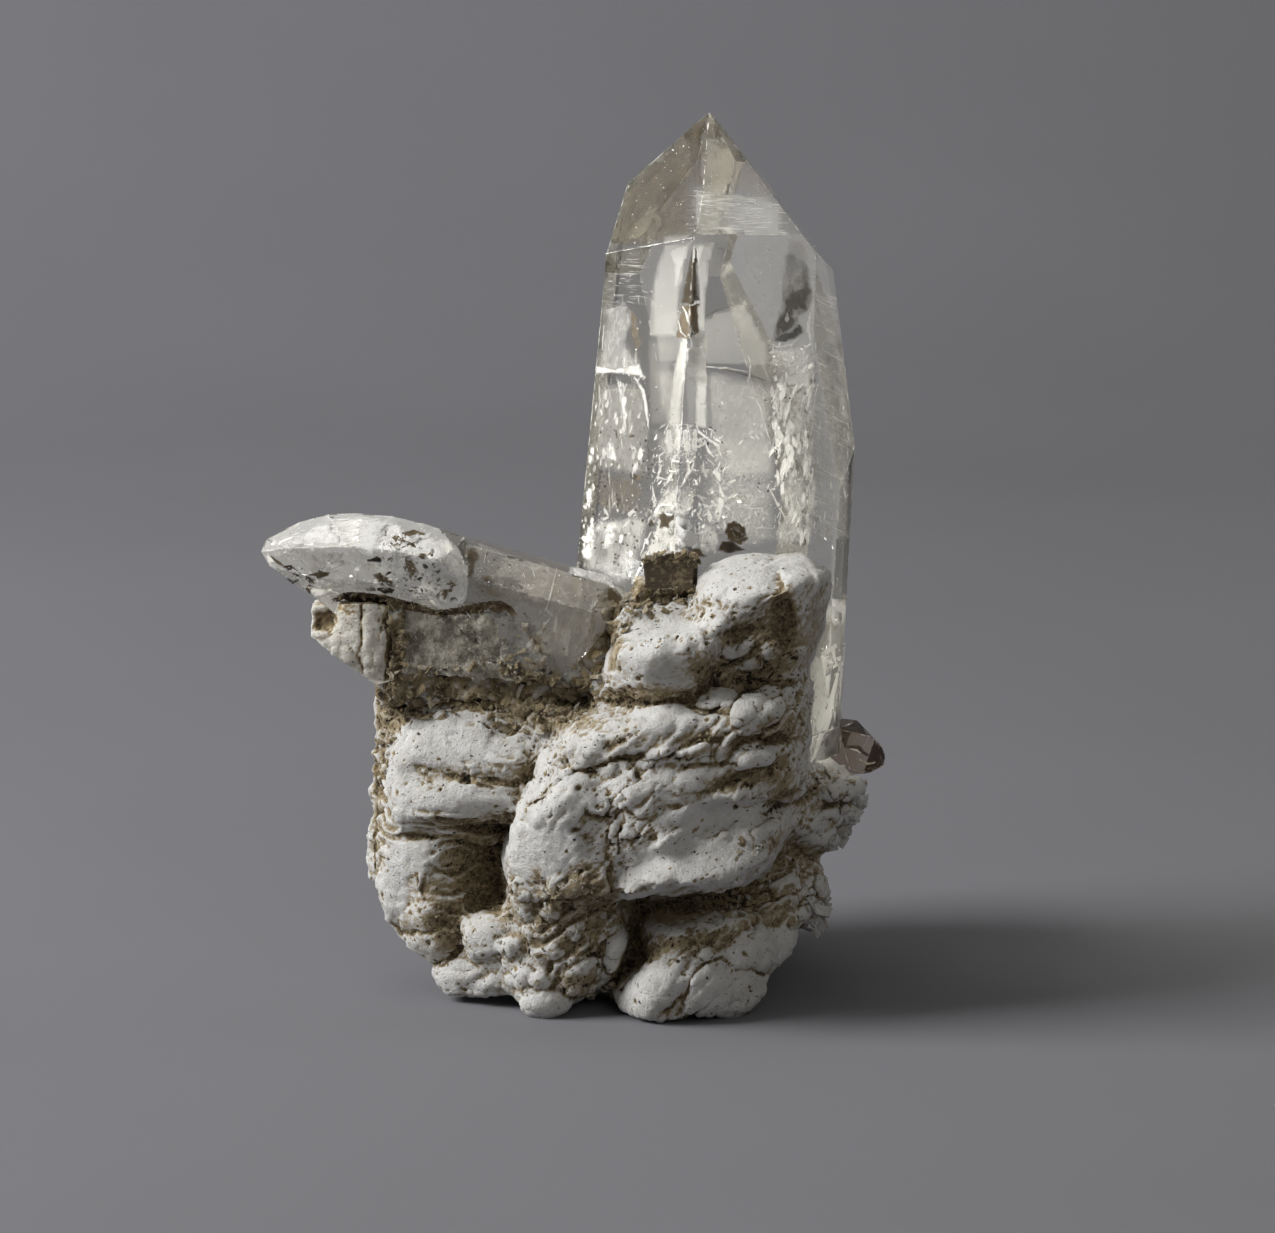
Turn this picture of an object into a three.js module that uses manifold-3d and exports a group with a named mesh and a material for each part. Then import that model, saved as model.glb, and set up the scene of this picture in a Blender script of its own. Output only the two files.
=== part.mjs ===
// A hand specimen of clear quartz crystals on a white albite matrix, in millimetres, +Z up.
// The side that carries the ledges faces -Y. The crystals grow out of sockets in the matrix.
import * as THREE from "three";
import { ConvexGeometry } from "three/addons/geometries/ConvexGeometry.js";
import { mergeVertices } from "three/addons/utils/BufferGeometryUtils.js";
import Module from "manifold-3d";

// Driving dimensions.
const GAP = 0.3; // clear space left round each piece that sits in a socket
const MAIN_AT = [13.3, 6, 60]; // a point on the main crystal's axis
const MAIN_LEAN = { back: 9.4, right: 0.75 }; // degrees from upright
const MAIN_FOOT = 34; // from that point down the axis to the crystal's buried end
const SOIL_LINE = 120; // half width of the block that cuts the underside flat
const MICA = { at: [8.3, -13.3, 52.1], size: [5.2, 2.6, 3.6], turn: 6 };

const wasm = await Module();
wasm.setup();

// The faces of the main crystal: azimuth (0 looks to -Y, positive towards +X), rise of the normal above the
// crystal's cross-section, and distance from MAIN_AT. The point is uneven, as on most natural crystals.
const MAIN_PRISM = [
  [19.1, 2.7, 13.7],
  [-41.8, 5.0, 14.5],
  [63.5, 0.5, 15.2],
  [-111.5, 3.4, 11.9],
  [133.0, 16.9, 14.8],
  [126.4, -6.0, 14.6],
  [195.0, 1.0, 14.5],
];
const MAIN_POINT = [
  [19.2, 34.0, 27.1],
  [-44.6, 29.8, 24.5],
  [80.2, 38.4, 27.9],
  [-105.9, 49.7, 34.3],
  [134.9, 40.0, 27.0],
  [195.1, 40.0, 26.9],
];
const MAIN_STEEP_BAND = [[18.1, 30.1, 25.5]];
const MAIN_BROKEN_FOOT = [
  [0, -90, MAIN_FOOT],
  [75, -62, 33.5],
  [172, -42, 26],
  [-112, -48, 28],
  [146, -42, 26.5],
];

// A closed three.js geometry as a manifold-3d solid.
function solid(geometry) {
  const flat = new THREE.BufferGeometry();
  const source = geometry.index ? geometry.toNonIndexed() : geometry;
  flat.setAttribute("position", source.getAttribute("position"));
  const merged = mergeVertices(flat, 1e-4);
  return new wasm.Manifold(
    new wasm.Mesh({
      numProp: 3,
      vertProperties: new Float32Array(merged.attributes.position.array),
      triVerts: new Uint32Array(merged.index.array),
    }),
  );
}

const vector = ([x, y, z]) => new THREE.Vector3(x, y, z);

// Directions of a coarse ball, used to round the corners of a stone.
const BALL = (() => {
  const position = new THREE.IcosahedronGeometry(1, 0).getAttribute("position");
  const seen = new Map();
  for (let i = 0; i < position.count; i++) {
    const p = new THREE.Vector3().fromBufferAttribute(position, i);
    seen.set(p.toArray().map((v) => v.toFixed(3)).join(), p);
  }
  return [...seen.values()];
})();

// The convex body round some corners, rounded outwards by a radius.
function stone(radius, corners) {
  const points = corners.map(vector);
  if (radius === 0) return solid(new ConvexGeometry(points));
  const rounded = points.flatMap((p) => BALL.map((b) => p.clone().addScaledVector(b, radius)));
  return solid(new ConvexGeometry(rounded));
}

// A crystal bounded by flat faces, each given as azimuth, rise and distance from its centre.
function crystal(faces, placement, growth = 0) {
  const planes = faces.map(([azimuth, rise, distance]) => {
    const a = THREE.MathUtils.degToRad(azimuth);
    const r = THREE.MathUtils.degToRad(rise);
    const normal = new THREE.Vector3(Math.sin(a) * Math.cos(r), -Math.cos(a) * Math.cos(r), Math.sin(r));
    return new THREE.Plane(normal, -(distance + growth));
  });
  const corners = [];
  for (let i = 0; i < planes.length; i++)
    for (let j = i + 1; j < planes.length; j++)
      for (let k = j + 1; k < planes.length; k++) {
        const meet = new THREE.Matrix3().set(
          ...planes[i].normal.toArray(),
          ...planes[j].normal.toArray(),
          ...planes[k].normal.toArray(),
        );
        if (Math.abs(meet.determinant()) < 1e-4) continue;
        const at = new THREE.Vector3(-planes[i].constant, -planes[j].constant, -planes[k].constant);
        at.applyMatrix3(meet.invert());
        if (planes.every((p) => p.distanceToPoint(at) < 1e-3)) corners.push(at);
      }
  return solid(new ConvexGeometry(corners).applyMatrix4(placement));
}

const joined = (solids) => solids.reduce((all, one) => all.add(one));

// The outer skin of a body, with the sealed hollows between its lumps filled.
const filled = (body) => body.decompose().reduce((most, one) => (one.volume() > most.volume() ? one : most));

// The upright crystal and the narrow one grown onto its lower right.
const MAIN_PLACE = new THREE.Matrix4()
  .makeTranslation(...MAIN_AT)
  .multiply(new THREE.Matrix4().makeRotationX(THREE.MathUtils.degToRad(-MAIN_LEAN.back)))
  .multiply(new THREE.Matrix4().makeRotationY(THREE.MathUtils.degToRad(MAIN_LEAN.right)));
const MAIN_FACES = [...MAIN_PRISM, ...MAIN_POINT, ...MAIN_STEEP_BAND, ...MAIN_BROKEN_FOOT];
const COMPANION = [
  [25.2, -6, 27],
  [25.8, -5.5, 41.5],
  [28.9, -2, 39],
  [29.8, 1.5, 41],
  [29.2, 1, 27.5],
  [27, 6, 40],
  [26, 6, 27],
  [20, -2, 27],
  [20, -2, 40],
];

function mainQuartz(growth) {
  return crystal(MAIN_FACES, MAIN_PLACE, growth).add(stone(growth, COMPANION));
}

// The left crystal: a prism that slopes up to the left, its layered head and the dusty crystals under it.
const LEFT_PRISM = [
  [-21, -12, 57.0],
  [1, -12, 50.6],
  [-21, -8, 57.2],
  [1, -8, 50.9],
  [-20, -16, 53.5],
  [-1, -16, 48],
  [3.2, -11.5, 48.3],
  [-1.5, -16, 43],
  [-4.5, -16, 40],
  [-9.5, -16, 40],
  [-20, -15, 49],
  [-20, -4.5, 54],
  [2, -5, 47.5],
  [-4, -6, 39],
  [-18, -6, 47],
];
const LEFT_HEAD = [
  [-40, -12, 54.5],
  [-39.5, -12, 56],
  [-35.5, -12, 58],
  [-32, -12, 59],
  [-28.5, -12, 59.1],
  [-24.5, -12, 58.7],
  [-21, -12, 57.9],
  [-15.8, -12, 56.2],
  [-14.8, -12, 51],
  [-16, -12, 48.5],
  [-17.5, -12, 47.6],
  [-20, -12, 47.9],
  [-33, -12, 49],
  [-36.5, -12, 51],
  [-39, -12, 52.7],
  [-36.5, -15.5, 55.5],
  [-29.5, -17.5, 56],
  [-23.5, -18, 55.5],
  [-18.5, -18, 54.5],
  [-16.6, -17, 52],
  [-18.5, -16, 49.5],
  [-25.5, -17, 51.5],
  [-33, -16, 52],
  [-35.5, -8, 55.5],
  [-30, -6, 56],
  [-21.5, -5.5, 54.5],
  [-17.5, -6, 52.5],
  [-21.5, -6, 49.5],
  [-31, -7, 51],
];
const LEFT_SPUR = [
  [-34.5, -13, 50.5],
  [-30, -13, 50.5],
  [-30.6, -13.5, 48.6],
  [-31.2, -14.5, 47.5],
  [-33.6, -15, 49.6],
  [-31, -11, 49.5],
];
const LEFT_DUSTY = [
  [-23.2, -14, 48.2],
  [-11.5, -15, 49],
  [-9.5, -16, 47],
  [-6.5, -16.5, 42.5],
  [-7, -16, 39.7],
  [-11.5, -15.6, 40.7],
  [-23.2, -14.2, 40.2],
  [-22.5, -7, 47.5],
  [-8, -7, 47],
  [-7, -8, 40],
  [-22.5, -8, 40.5],
];

function leftQuartz(growth) {
  return joined([LEFT_PRISM, LEFT_HEAD, LEFT_SPUR, LEFT_DUSTY].map((corners) => stone(growth, corners)));
}

// The small smoky crystal behind the right side. Its tip points to the right.
const SMOKY = [
  [24, 3, 30.5],
  [24, 9, 31],
  [24, 2, 24],
  [24, 9, 23.5],
  [29, 1.5, 30.4],
  [31.5, 6, 30.6],
  [33, 3.5, 29.1],
  [34.5, 4.8, 27.6],
  [35, 5.2, 26.2],
  [34.8, 5.5, 25],
  [33, 3.8, 24.4],
  [30.5, 1.6, 25.3],
  [32.5, 8.5, 28],
  [31, 8.5, 24.5],
];

const smokyQuartz = (growth) => stone(growth, SMOKY);

// The cleavage block under the head of the left crystal.
const BLOCK = [
  [-34, -13, 48.4],
  [-34.4, -13, 44.5],
  [-31.5, -14, 43],
  [-28.5, -14.5, 41.4],
  [-25, -14.5, 37.6],
  [-25, -14.8, 48.4],
  [-28, -14.8, 48.8],
  [-23.6, -12, 47],
  [-23.6, -12, 38],
  [-34, -8, 48.2],
  [-34.2, -8, 44.6],
  [-25, -5.5, 48],
  [-25, -6, 37.5],
  [-28.5, -7, 40.5],
];

const feldsparBlock = (growth) => stone(growth, BLOCK);

// A stack of mica sheets, drawn as the block that they make.
function micaBook(growth) {
  const [width, depth, height] = MICA.size;
  const book = new THREE.BoxGeometry(width + 2 * growth, depth + 2 * growth, height + 2 * growth);
  book.rotateY(THREE.MathUtils.degToRad(MICA.turn)).translate(...MICA.at);
  return solid(book);
}

// The matrix: rounded slabs and lumps. The first number of each is how far its corners are rounded.
const CORE = [
  [2.5, [-19, -9, 22], [-18, 9, 22], [-17, -9, 36], [-14, 9, 36], [22, -12, 38], [23, 12, 37], [24, -10, 18],
    [24, 12, 17], [-8, -15, 20], [-4, 16, 22], [14, 17, 22], [0, -14, 38], [12, -16, 18], [4, 14, 40],
    [-4, -16.5, 31], [18, -16, 32], [6, -18.5, 33], [16, -17, 24]],
  [2, [-7, -14, 2], [-6, 12, 2], [17, -12, 2], [19, 12, 2], [-13, -11, 14], [-12, 11, 14], [22, -10, 16],
    [22, 14, 15], [-14, 0, 19], [4, 16, 12], [0, -10, 2], [-4, -16, 12]],
];
const FRONT = [
  // The slope that the lobes stand out from.
  [1.2, [-6.5, -17, 31], [0, -19.3, 34], [11, -20.2, 36], [20, -17.8, 36], [22.5, -15, 32], [13, -20.6, 28],
    [2, -20.8, 21], [-7.5, -17.2, 24], [-8, -16.6, 16], [1, -20.3, 16], [20, -14.5, 23], [2, -10, 38], [14, -8, 20]],
  [1.2, [2, -17, 44], [14, -19.5, 42], [22, -17, 41], [24, -13, 44], [4, -18.5, 38], [23, -15.5, 38], [14, -9, 45]],
  [1.2, [-22.5, -11, 30], [-9, -15.8, 29.5], [-9, -15.5, 21], [-22.5, -11, 21], [-10, -5, 30], [-10, -5, 21]],
  [1.2, [3, -18.5, 9], [16, -17.5, 9.5], [17, -15.5, 3], [4, -19, 3], [5, -10, 9], [16, -9, 9], [10, -9, 2]],
  // The knob at the upper right and the slab beside it.
  [1.5, [13, -18, 49], [15.5, -20.5, 49.5], [20, -21.5, 50], [23.5, -19.5, 50.5], [26, -15, 51.2], [12.5, -13, 50.5],
    [14.5, -9, 52.4], [19, -8, 52.8], [23.5, -8, 52.6], [25.5, -10, 51.2], [13.5, -18, 44], [17, -19.6, 43],
    [22.5, -18.5, 41.5], [25.5, -13, 46], [14, -8, 40], [24, -7, 42]],
  [1.5, [3, -17.5, 43.5], [1.7, -18, 40], [6.5, -20.5, 43.5], [12, -21, 44], [16, -19, 45.2], [4.5, -12, 45.3],
    [7.5, -10, 46], [16.5, -10, 46.5], [5.5, -20, 38.3], [10.5, -20.5, 38.3], [16, -19, 41.5], [2.5, -9, 38],
    [14, -9, 38]],
  // Broken ground under the mica and under the knob.
  [0.8, [2.2, -14, 46.8], [4, -15, 47.6], [10.5, -15.2, 47.6], [3.2, -11.5, 48.4], [10.5, -11, 49], [11, -10, 46],
    [1, -11, 44], [1.2, -14.5, 43.5]],
  [1.2, [13, -17.5, 42], [19, -18.3, 41], [24, -15, 40], [13, -18.8, 37.6], [19, -19, 37.6], [24.4, -14, 37.6],
    [13, -10, 40], [23, -9, 40]],
  // Two terraces.
  [1.4, [-5.5, -17.5, 32], [0, -20, 35], [7, -21.5, 37], [11.5, -21.5, 36.5], [-4, -12, 32.5], [1, -12.5, 36],
    [11.5, -13, 36.5], [-5.5, -18.5, 29.5], [0.5, -21, 30.8], [7.5, -22, 31.8], [12.5, -22, 31.8]],
  [1.4, [11.5, -21, 36], [16, -21, 37.3], [20.5, -19, 37.4], [24, -15.5, 37.4], [16.5, -12, 37.2], [24, -9, 37.4],
    [11.5, -21.5, 32.4], [17, -21.5, 32.2], [22, -19, 32.4], [24, -15.5, 32.4]],
  // The long ledge under the terraces.
  [1.6, [1, -20.5, 29.5], [7, -22.5, 30.8], [16.5, -22, 31.2], [22.5, -18, 31.5], [1, -21, 27.4], [6.5, -23, 27.8],
    [16.5, -22.5, 28.2], [22.8, -18, 27.5], [2, -12, 31], [22, -10, 31]],
  // The lip and the front lobe at the left of the clean slab.
  [1.4, [1.5, -21, 25], [3, -23, 27.7], [6.5, -23.3, 28.6], [9.5, -23, 26.5], [6, -23.8, 22.6], [2.3, -22.6, 16.5],
    [0.5, -22, 20], [2, -13, 27], [10, -13, 28], [3, -13, 17]],
  [1.7, [-4.8, -16, 30.8], [-3.5, -20, 29.5], [-2, -21.5, 28], [-4.5, -22.8, 25.8], [-8.4, -18, 25],
    [-9.3, -17.5, 20], [-9.8, -17.5, 18], [-8.5, -17.5, 15], [0, -22, 26], [0.4, -23.3, 20], [0, -22.5, 15.8],
    [-4.5, -20.5, 14.6], [-2, -10, 28], [-9, -9, 22], [-6, -10, 16]],
  // The clean slab that juts out over a hollow.
  [0.6, [6.6, -17, 21.6], [12, -15.5, 24.2], [16.5, -14.5, 26], [20, -13.5, 25.5], [22.3, -12.5, 22.8],
    [1.8, -23, 15.8], [7, -25.3, 17.2], [14, -25.3, 17.2], [17, -24.3, 17.8], [18.7, -22.5, 19], [21.2, -17.5, 21],
    [3, -18, 14.3], [14, -20, 15.5], [20.5, -14, 17.5], [4, -10, 20], [20, -8, 20]],
  // The hollow's back wall.
  [1.4, [2.5, -16.8, 15], [12, -17.3, 15.2], [23, -13, 16], [2.5, -16, 9], [12, -17, 9.5], [23, -12, 9],
    [3, -8, 12], [22, -6, 12]],
  // The right side.
  [1.5, [22.5, -11, 24.5], [26.5, -9.5, 24.8], [31, -4, 24.3], [30.3, -4, 22.4], [28, -6, 18.8], [25, -9, 17],
    [22, -12, 17], [29.5, 0, 25], [23.5, -4, 27.5], [22, 4, 17], [28, 3, 22]],
  [1.4, [21.5, -13, 15.2], [24, -11, 15.8], [26, -8, 14.6], [26, -8, 12], [21.5, -12.5, 11.5], [20, 2, 12], [25, 2, 14]],
  [1.3, [21.5, -11.5, 12], [24.5, -9, 12.2], [26, -7.5, 9.8], [25.3, -7.5, 8.8], [22, -11, 8.6], [20, 2, 12],
    [24.5, 2, 9]],
  // The right foot: two lobes and a lump above them.
  [1.4, [2.6, -20, 8.8], [6, -21, 10], [9, -22, 9.6], [9.6, -22.6, 5], [8.8, -21.8, 1], [5, -21.6, 1], [3, -20.5, 3],
    [2.4, -19, 6.8], [3, -12, 8], [3.5, -12, 1], [9, -12, 2]],
  [1.5, [10.5, -20.6, 9.8], [15, -18.8, 11.4], [18.6, -16.5, 9.2], [19, -15.5, 5], [17.8, -16.5, 2], [16.2, -18, 1],
    [12, -20.8, 1], [10.4, -21.2, 4], [11, -10, 9], [18, -9, 7], [17, -10, 1], [10, -10, 1]],
  [1.3, [16, -16.5, 11], [19.5, -15.5, 10.8], [22.3, -12, 9], [22.3, -11.5, 7], [20.5, -12.6, 5.4],
    [16.5, -16, 7], [16, -8, 9], [21, -6, 8]],
  // The left side: a fluted block, thin plates at the edge, the swelling under it and lumps at its foot.
  [1.6, [-22.6, -11.5, 31], [-21.2, -12.5, 33.2], [-16.5, -13.5, 34], [-13.5, -14.3, 33.4], [-7, -15.5, 31.8],
    [-23.4, -12.3, 29.4], [-10, -17.2, 28.6], [-18, -14.8, 29.2], [-21, -5, 34.5], [-9.5, -5, 35], [-22, -2, 27],
    [-8, -4, 27]],
  [1.8, [-23.6, -12, 26.5], [-23.6, -12, 22], [-19, -14.8, 21.6], [-11, -17, 22.4], [-8.5, -17.2, 26], [-18, -15, 27],
    [-9.5, -16.8, 27], [-22, -2, 27], [-22, -2, 22], [-8, -4, 24]],
  [1.8, [-25.2, -9, 21.5], [-25.4, -9.3, 14.5], [-24.8, -9.3, 10.8], [-22.6, -10.3, 8], [-21, -11, 6.8],
    [-18.5, -12.6, 6.4], [-19.5, -13.8, 12], [-20.5, -13.6, 20.5], [-23.4, -11.8, 20.5], [-24, 0, 14], [-20, 2, 8],
    [-15, -4, 8], [-14, 0, 20]],
  [1.4, [-20, -12.6, 20.5], [-12, -14.2, 20.5], [-13, -14.4, 10.5], [-19, -12.6, 8.4], [-12, -4, 20], [-12, -4, 9]],
  [0.7, [-27.8, -6.5, 14], [-27.3, -5.5, 25.5], [-26.5, -5.5, 35.3], [-25, -6.5, 35.8], [-24.3, -9, 14.5],
    [-24.2, -8.4, 30], [-24, -1, 34], [-24, 2, 16], [-23, 0, 24]],
  [1.3, [-19.3, -11.5, 3.9], [-17.5, -13, 5], [-13, -15, 4.6], [-12.6, -15, 2], [-17.6, -13, 1.6], [-18.8, -11, 2],
    [-16, -5, 8], [-12, -6, 3]],
  [1.3, [-15, -16, 10.2], [-10, -18.6, 11.5], [-9.4, -18.6, 7.4], [-14.8, -16, 6.9], [-14, -8, 10], [-9, -9, 8]],
  [1.2, [-12.5, -16, 6.5], [-9, -18, 7], [-8.5, -18, 3], [-12, -15.6, 2.6], [-11, -9, 6], [-8, -9, 3]],
  // The foot in the middle, and the broken crust that the left crystal lies on.
  [1.3, [-9.8, -18.6, 14.8], [-4.5, -20.8, 13.5], [-0.2, -21, 14], [1.5, -18.3, 11], [-1.5, -18, 6],
    [-4.5, -19.8, 2], [-6, -19.8, 1.1], [-7.8, -19.8, 1.1], [-9, -18.3, 2.3], [-9.8, -19, 8], [-8, -9, 12],
    [-1, -9, 12], [-3, -9, 2]],
  [1.2, [-0.5, -18.3, 10], [1.7, -16, 9.8], [2.4, -15, 8.2], [1.6, -15, 6], [0, -16, 3.8], [-1.6, -17, 2.4],
    [-4, -19, 6], [-2, -9, 9], [-2, -9, 3]],
  [1.1, [-22.3, -11.3, 37.2], [-16.5, -12.3, 38.6], [-9.5, -14, 37.8], [-3, -14.2, 40.2], [1.5, -15, 38],
    [-4, -16, 33.5], [-14, -14, 34.5], [-22, -12, 34.5], [-20, -4, 38], [-2, -6, 42], [-10, -4, 35]],
];
const BACK = [
  // The rim behind the main crystal.
  [1.7, [-17, 8, 33], [-8, 18, 34], [4, 24, 36], [14, 24.6, 37], [20, 22, 35], [-15, 5, 38.5], [-6, 14.5, 41],
    [4, 22, 43], [12, 22.8, 42], [18, 21.8, 39], [0, 8, 41], [16, 8, 33]],
  [1.8, [16, 21.5, 35.5], [22, 19, 35.5], [26.8, 12, 33], [19, 22, 28], [27.3, 11, 28], [16, 8, 28], [25, 7, 30]],
  // Ledges down the back, stepping in towards the feet.
  [1.7, [-21, 3, 32], [-16, 11, 33], [-7, 19, 32], [-21.5, 4, 24], [-16, 13, 23], [-6, 20, 22], [-8, 4, 30]],
  [1.7, [-6, 20, 33], [6, 25, 34], [13, 25.6, 33], [-5, 21.5, 23], [6, 25, 21], [14, 25.6, 22], [0, 8, 30]],
  [1.6, [12, 24, 30], [21, 20.5, 29], [27, 10, 28], [13, 24.5, 20], [22, 19, 18.5], [27, 9, 19], [20, 5, 25]],
  [1.6, [-18, 4, 21], [-13, 13, 20.5], [-3, 19.5, 20], [-16, 4, 11], [-11, 13, 10], [-2, 18, 9.5], [0, 5, 14]],
  [1.6, [-4, 19.5, 21], [12, 23, 20.5], [-2, 18.5, 10], [11, 20, 8], [4, 6, 14]],
  [1.4, [11, 22, 18.5], [21, 17, 18], [26, 6, 17], [12, 18.5, 7], [21, 14.5, 7], [25, 5, 9]],
  [1.4, [-13, 3, 10], [-8, 13, 9.5], [4, 17, 9], [-9, 5, 1], [-6, 12, 1], [4, 15.5, 1]],
  [1.4, [4, 17, 8.5], [17, 14.5, 8.5], [22, 5, 8.5], [6, 15, 1], [16, 12.5, 1], [19, 5, 1]],
];

function albiteMatrix() {
  const slabs = [...CORE, ...FRONT, ...BACK].map(([radius, ...corners]) => stone(radius, corners));
  const below = new THREE.BoxGeometry(SOIL_LINE, SOIL_LINE, SOIL_LINE).translate(0, 0, -SOIL_LINE / 2);
  const sockets = [mainQuartz(GAP), leftQuartz(GAP), smokyQuartz(GAP), feldsparBlock(GAP), micaBook(GAP)];
  return filled(filled(joined(slabs)).subtract(solid(below)).subtract(joined(sockets)));
}

const CLEAR = { color: 0xd8d6cf, roughness: 0.08, transparent: true, opacity: 0.55 };
const PIECES = {
  main_quartz_point: [() => mainQuartz(0), CLEAR],
  left_quartz_crystal: [() => leftQuartz(0).subtract(mainQuartz(GAP)), CLEAR],
  rear_smoky_quartz: [() => smokyQuartz(0).subtract(mainQuartz(GAP)), { ...CLEAR, color: 0x8a7a66 }],
  albite_matrix: [albiteMatrix, { color: 0xdedcd4, roughness: 0.85 }],
  feldspar_block: [() => feldsparBlock(0).subtract(leftQuartz(GAP)), { color: 0xcfc6b2, roughness: 0.7 }],
  mica_book: [() => micaBook(0).subtract(mainQuartz(GAP)), { color: 0x5b4836, roughness: 0.5 }],
};

// A manifold-3d solid as a three.js mesh with its own material.
function meshOf(name, body, finish) {
  const data = body.getMesh();
  const geometry = new THREE.BufferGeometry();
  const position = new Float32Array(data.numVert * 3);
  for (let i = 0; i < data.numVert; i++)
    position.set(data.vertProperties.subarray(i * data.numProp, i * data.numProp + 3), i * 3);
  geometry.setAttribute("position", new THREE.BufferAttribute(position, 3));
  geometry.setIndex(new THREE.BufferAttribute(data.triVerts, 1));
  geometry.computeVertexNormals();
  const mesh = new THREE.Mesh(geometry, new THREE.MeshStandardMaterial({ ...finish, flatShading: true }));
  mesh.name = name;
  return mesh;
}

const specimen = new THREE.Group();
for (const [name, [make, finish]] of Object.entries(PIECES)) specimen.add(meshOf(name, make(), finish));

// The origin is the middle of the bounding box's underside.
const box = new THREE.Box3().setFromObject(specimen);
const middle = box.getCenter(new THREE.Vector3());
specimen.position.set(-middle.x, -middle.y, -box.min.z);

export default specimen;
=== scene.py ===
"""A hand specimen of clear quartz crystals on white albite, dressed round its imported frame.

Every piece is in metres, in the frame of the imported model. A place that was read off the photograph is given
in its pixels, and a ray from the camera finds the surface that carries it.
"""

import logging
import math
from dataclasses import dataclass
from enum import Enum
from typing import Callable, Iterable, Sequence

import bmesh
import bpy
import numpy as np
from mathutils import Matrix, Vector, noise
from mathutils.bvhtree import BVHTree
from mathutils.kdtree import KDTree


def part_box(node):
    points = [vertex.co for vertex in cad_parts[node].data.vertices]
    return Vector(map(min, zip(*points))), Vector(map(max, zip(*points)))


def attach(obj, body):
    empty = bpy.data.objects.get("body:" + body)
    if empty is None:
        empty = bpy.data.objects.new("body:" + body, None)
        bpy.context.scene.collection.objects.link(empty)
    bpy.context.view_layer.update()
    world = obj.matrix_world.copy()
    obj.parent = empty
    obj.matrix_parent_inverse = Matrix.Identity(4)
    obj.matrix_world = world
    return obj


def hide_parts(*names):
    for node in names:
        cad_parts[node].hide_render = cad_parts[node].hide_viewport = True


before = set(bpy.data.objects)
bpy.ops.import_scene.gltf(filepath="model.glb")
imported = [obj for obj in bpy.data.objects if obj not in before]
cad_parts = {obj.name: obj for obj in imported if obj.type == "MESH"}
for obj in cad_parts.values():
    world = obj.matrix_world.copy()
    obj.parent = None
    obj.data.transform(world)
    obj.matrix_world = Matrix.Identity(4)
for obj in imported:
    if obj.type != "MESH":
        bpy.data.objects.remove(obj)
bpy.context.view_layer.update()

LOG = logging.getLogger("specimen")
MM = 0.001
PHOTO = (1275, 1233)
QUARTZ_IOR = 1.544
# The upright prism's turn from the vertical, in degrees, which its growth lines and veils follow.
PRISM_LEAN = (9.4, -0.75, 0.0)
# What a film inside a crystal has painted on it.
FILM = ("cover", "tone", "broken")
NOISE_SEED = 4
# Faces of a CAD solid that meet at less than this angle are one face of the crystal.
FLAT = math.radians(0.6)

Array = np.ndarray
BMesh = bmesh.types.BMesh
Material = bpy.types.Material
Mesh = bpy.types.Mesh
Object = bpy.types.Object
Colour = tuple[float, float, float]
Pixel = tuple[float, float]
Point = tuple[float, float, float]


class Crystal(Enum):
    """The quartz crystals, each by its CAD node and its material slot."""

    UPRIGHT = ("main_quartz_point", "clear_quartz")
    RECLINING = ("left_quartz_crystal", "dusty_quartz")
    REAR = ("rear_smoky_quartz", "smoky_quartz")

    @property
    def node(self) -> str:
        """The CAD node that it is."""
        return self.value[0]

    @property
    def slot(self) -> str:
        """The name of the material slot for it and all that is in it."""
        return self.value[1]


# The camera, and the way from a pixel of the photograph to a place on the specimen.


@dataclass(frozen=True)
class PortraitCamera:
    """The camera at the photograph's viewing angle."""

    target: Point = (0.0070, -0.00062, 0.0446)
    distance: float = 0.560
    elevation: float = 10.0
    lens: float = 130.45
    sensor: float = 36.0

    @property
    def focal(self) -> float:
        """Focal length in pixels of the photograph."""
        return self.lens / self.sensor * PHOTO[0]

    @property
    def axes(self) -> tuple[Vector, Vector, Vector]:
        """The camera's right, up and backward directions."""
        e = math.radians(self.elevation)
        back = Vector((0, -math.cos(e), math.sin(e)))
        right = Vector((1, 0, 0))
        return right, back.cross(right), back

    @property
    def position(self) -> Vector:
        """Where the camera stands."""
        return Vector(self.target) + self.axes[2] * self.distance

    def pixels(self, points: Array) -> Array:
        """Projects points into the photograph.

        Args:
            points: One row per point, in metres.

        Returns:
            One row per point, in pixels from the top left.
        """
        right, up, back = (np.array(a) for a in self.axes)
        away = points - np.array(self.position)
        depth = -(away @ back)
        across = PHOTO[0] / 2 + self.focal * (away @ right) / depth
        return np.stack([across, PHOTO[1] / 2 - self.focal * (away @ up) / depth], axis=1)

    def ray(self, pixel: Pixel) -> tuple[Vector, Vector]:
        """The ray through a pixel.

        Args:
            pixel: Across and down, from the photograph's top left.

        Returns:
            Its start and its direction.
        """
        right, up, back = self.axes
        across = (pixel[0] - PHOTO[0] / 2) / self.focal
        down = (pixel[1] - PHOTO[1] / 2) / self.focal
        return self.position, (right * across - up * down - back).normalized()

    def build(self) -> Object:
        """Makes the camera and gives it to the scene."""
        data = bpy.data.cameras.new("portrait_camera")
        data.lens, data.sensor_width = self.lens, self.sensor
        data.clip_start, data.clip_end = 0.01, 20.0
        camera = bpy.data.objects.new("portrait_camera", data)
        camera.location = self.position
        camera.rotation_mode = "QUATERNION"
        camera.rotation_quaternion = (-self.axes[2]).to_track_quat("-Z", "Y")
        bpy.context.scene.collection.objects.link(camera)
        bpy.context.scene.camera = camera
        return camera


CAMERA = PortraitCamera()
# The way from the specimen to the main light.
KEY_WAY = Vector((-0.84, -0.12, 0.595)).normalized()


# Small tools for meshes.


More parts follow.
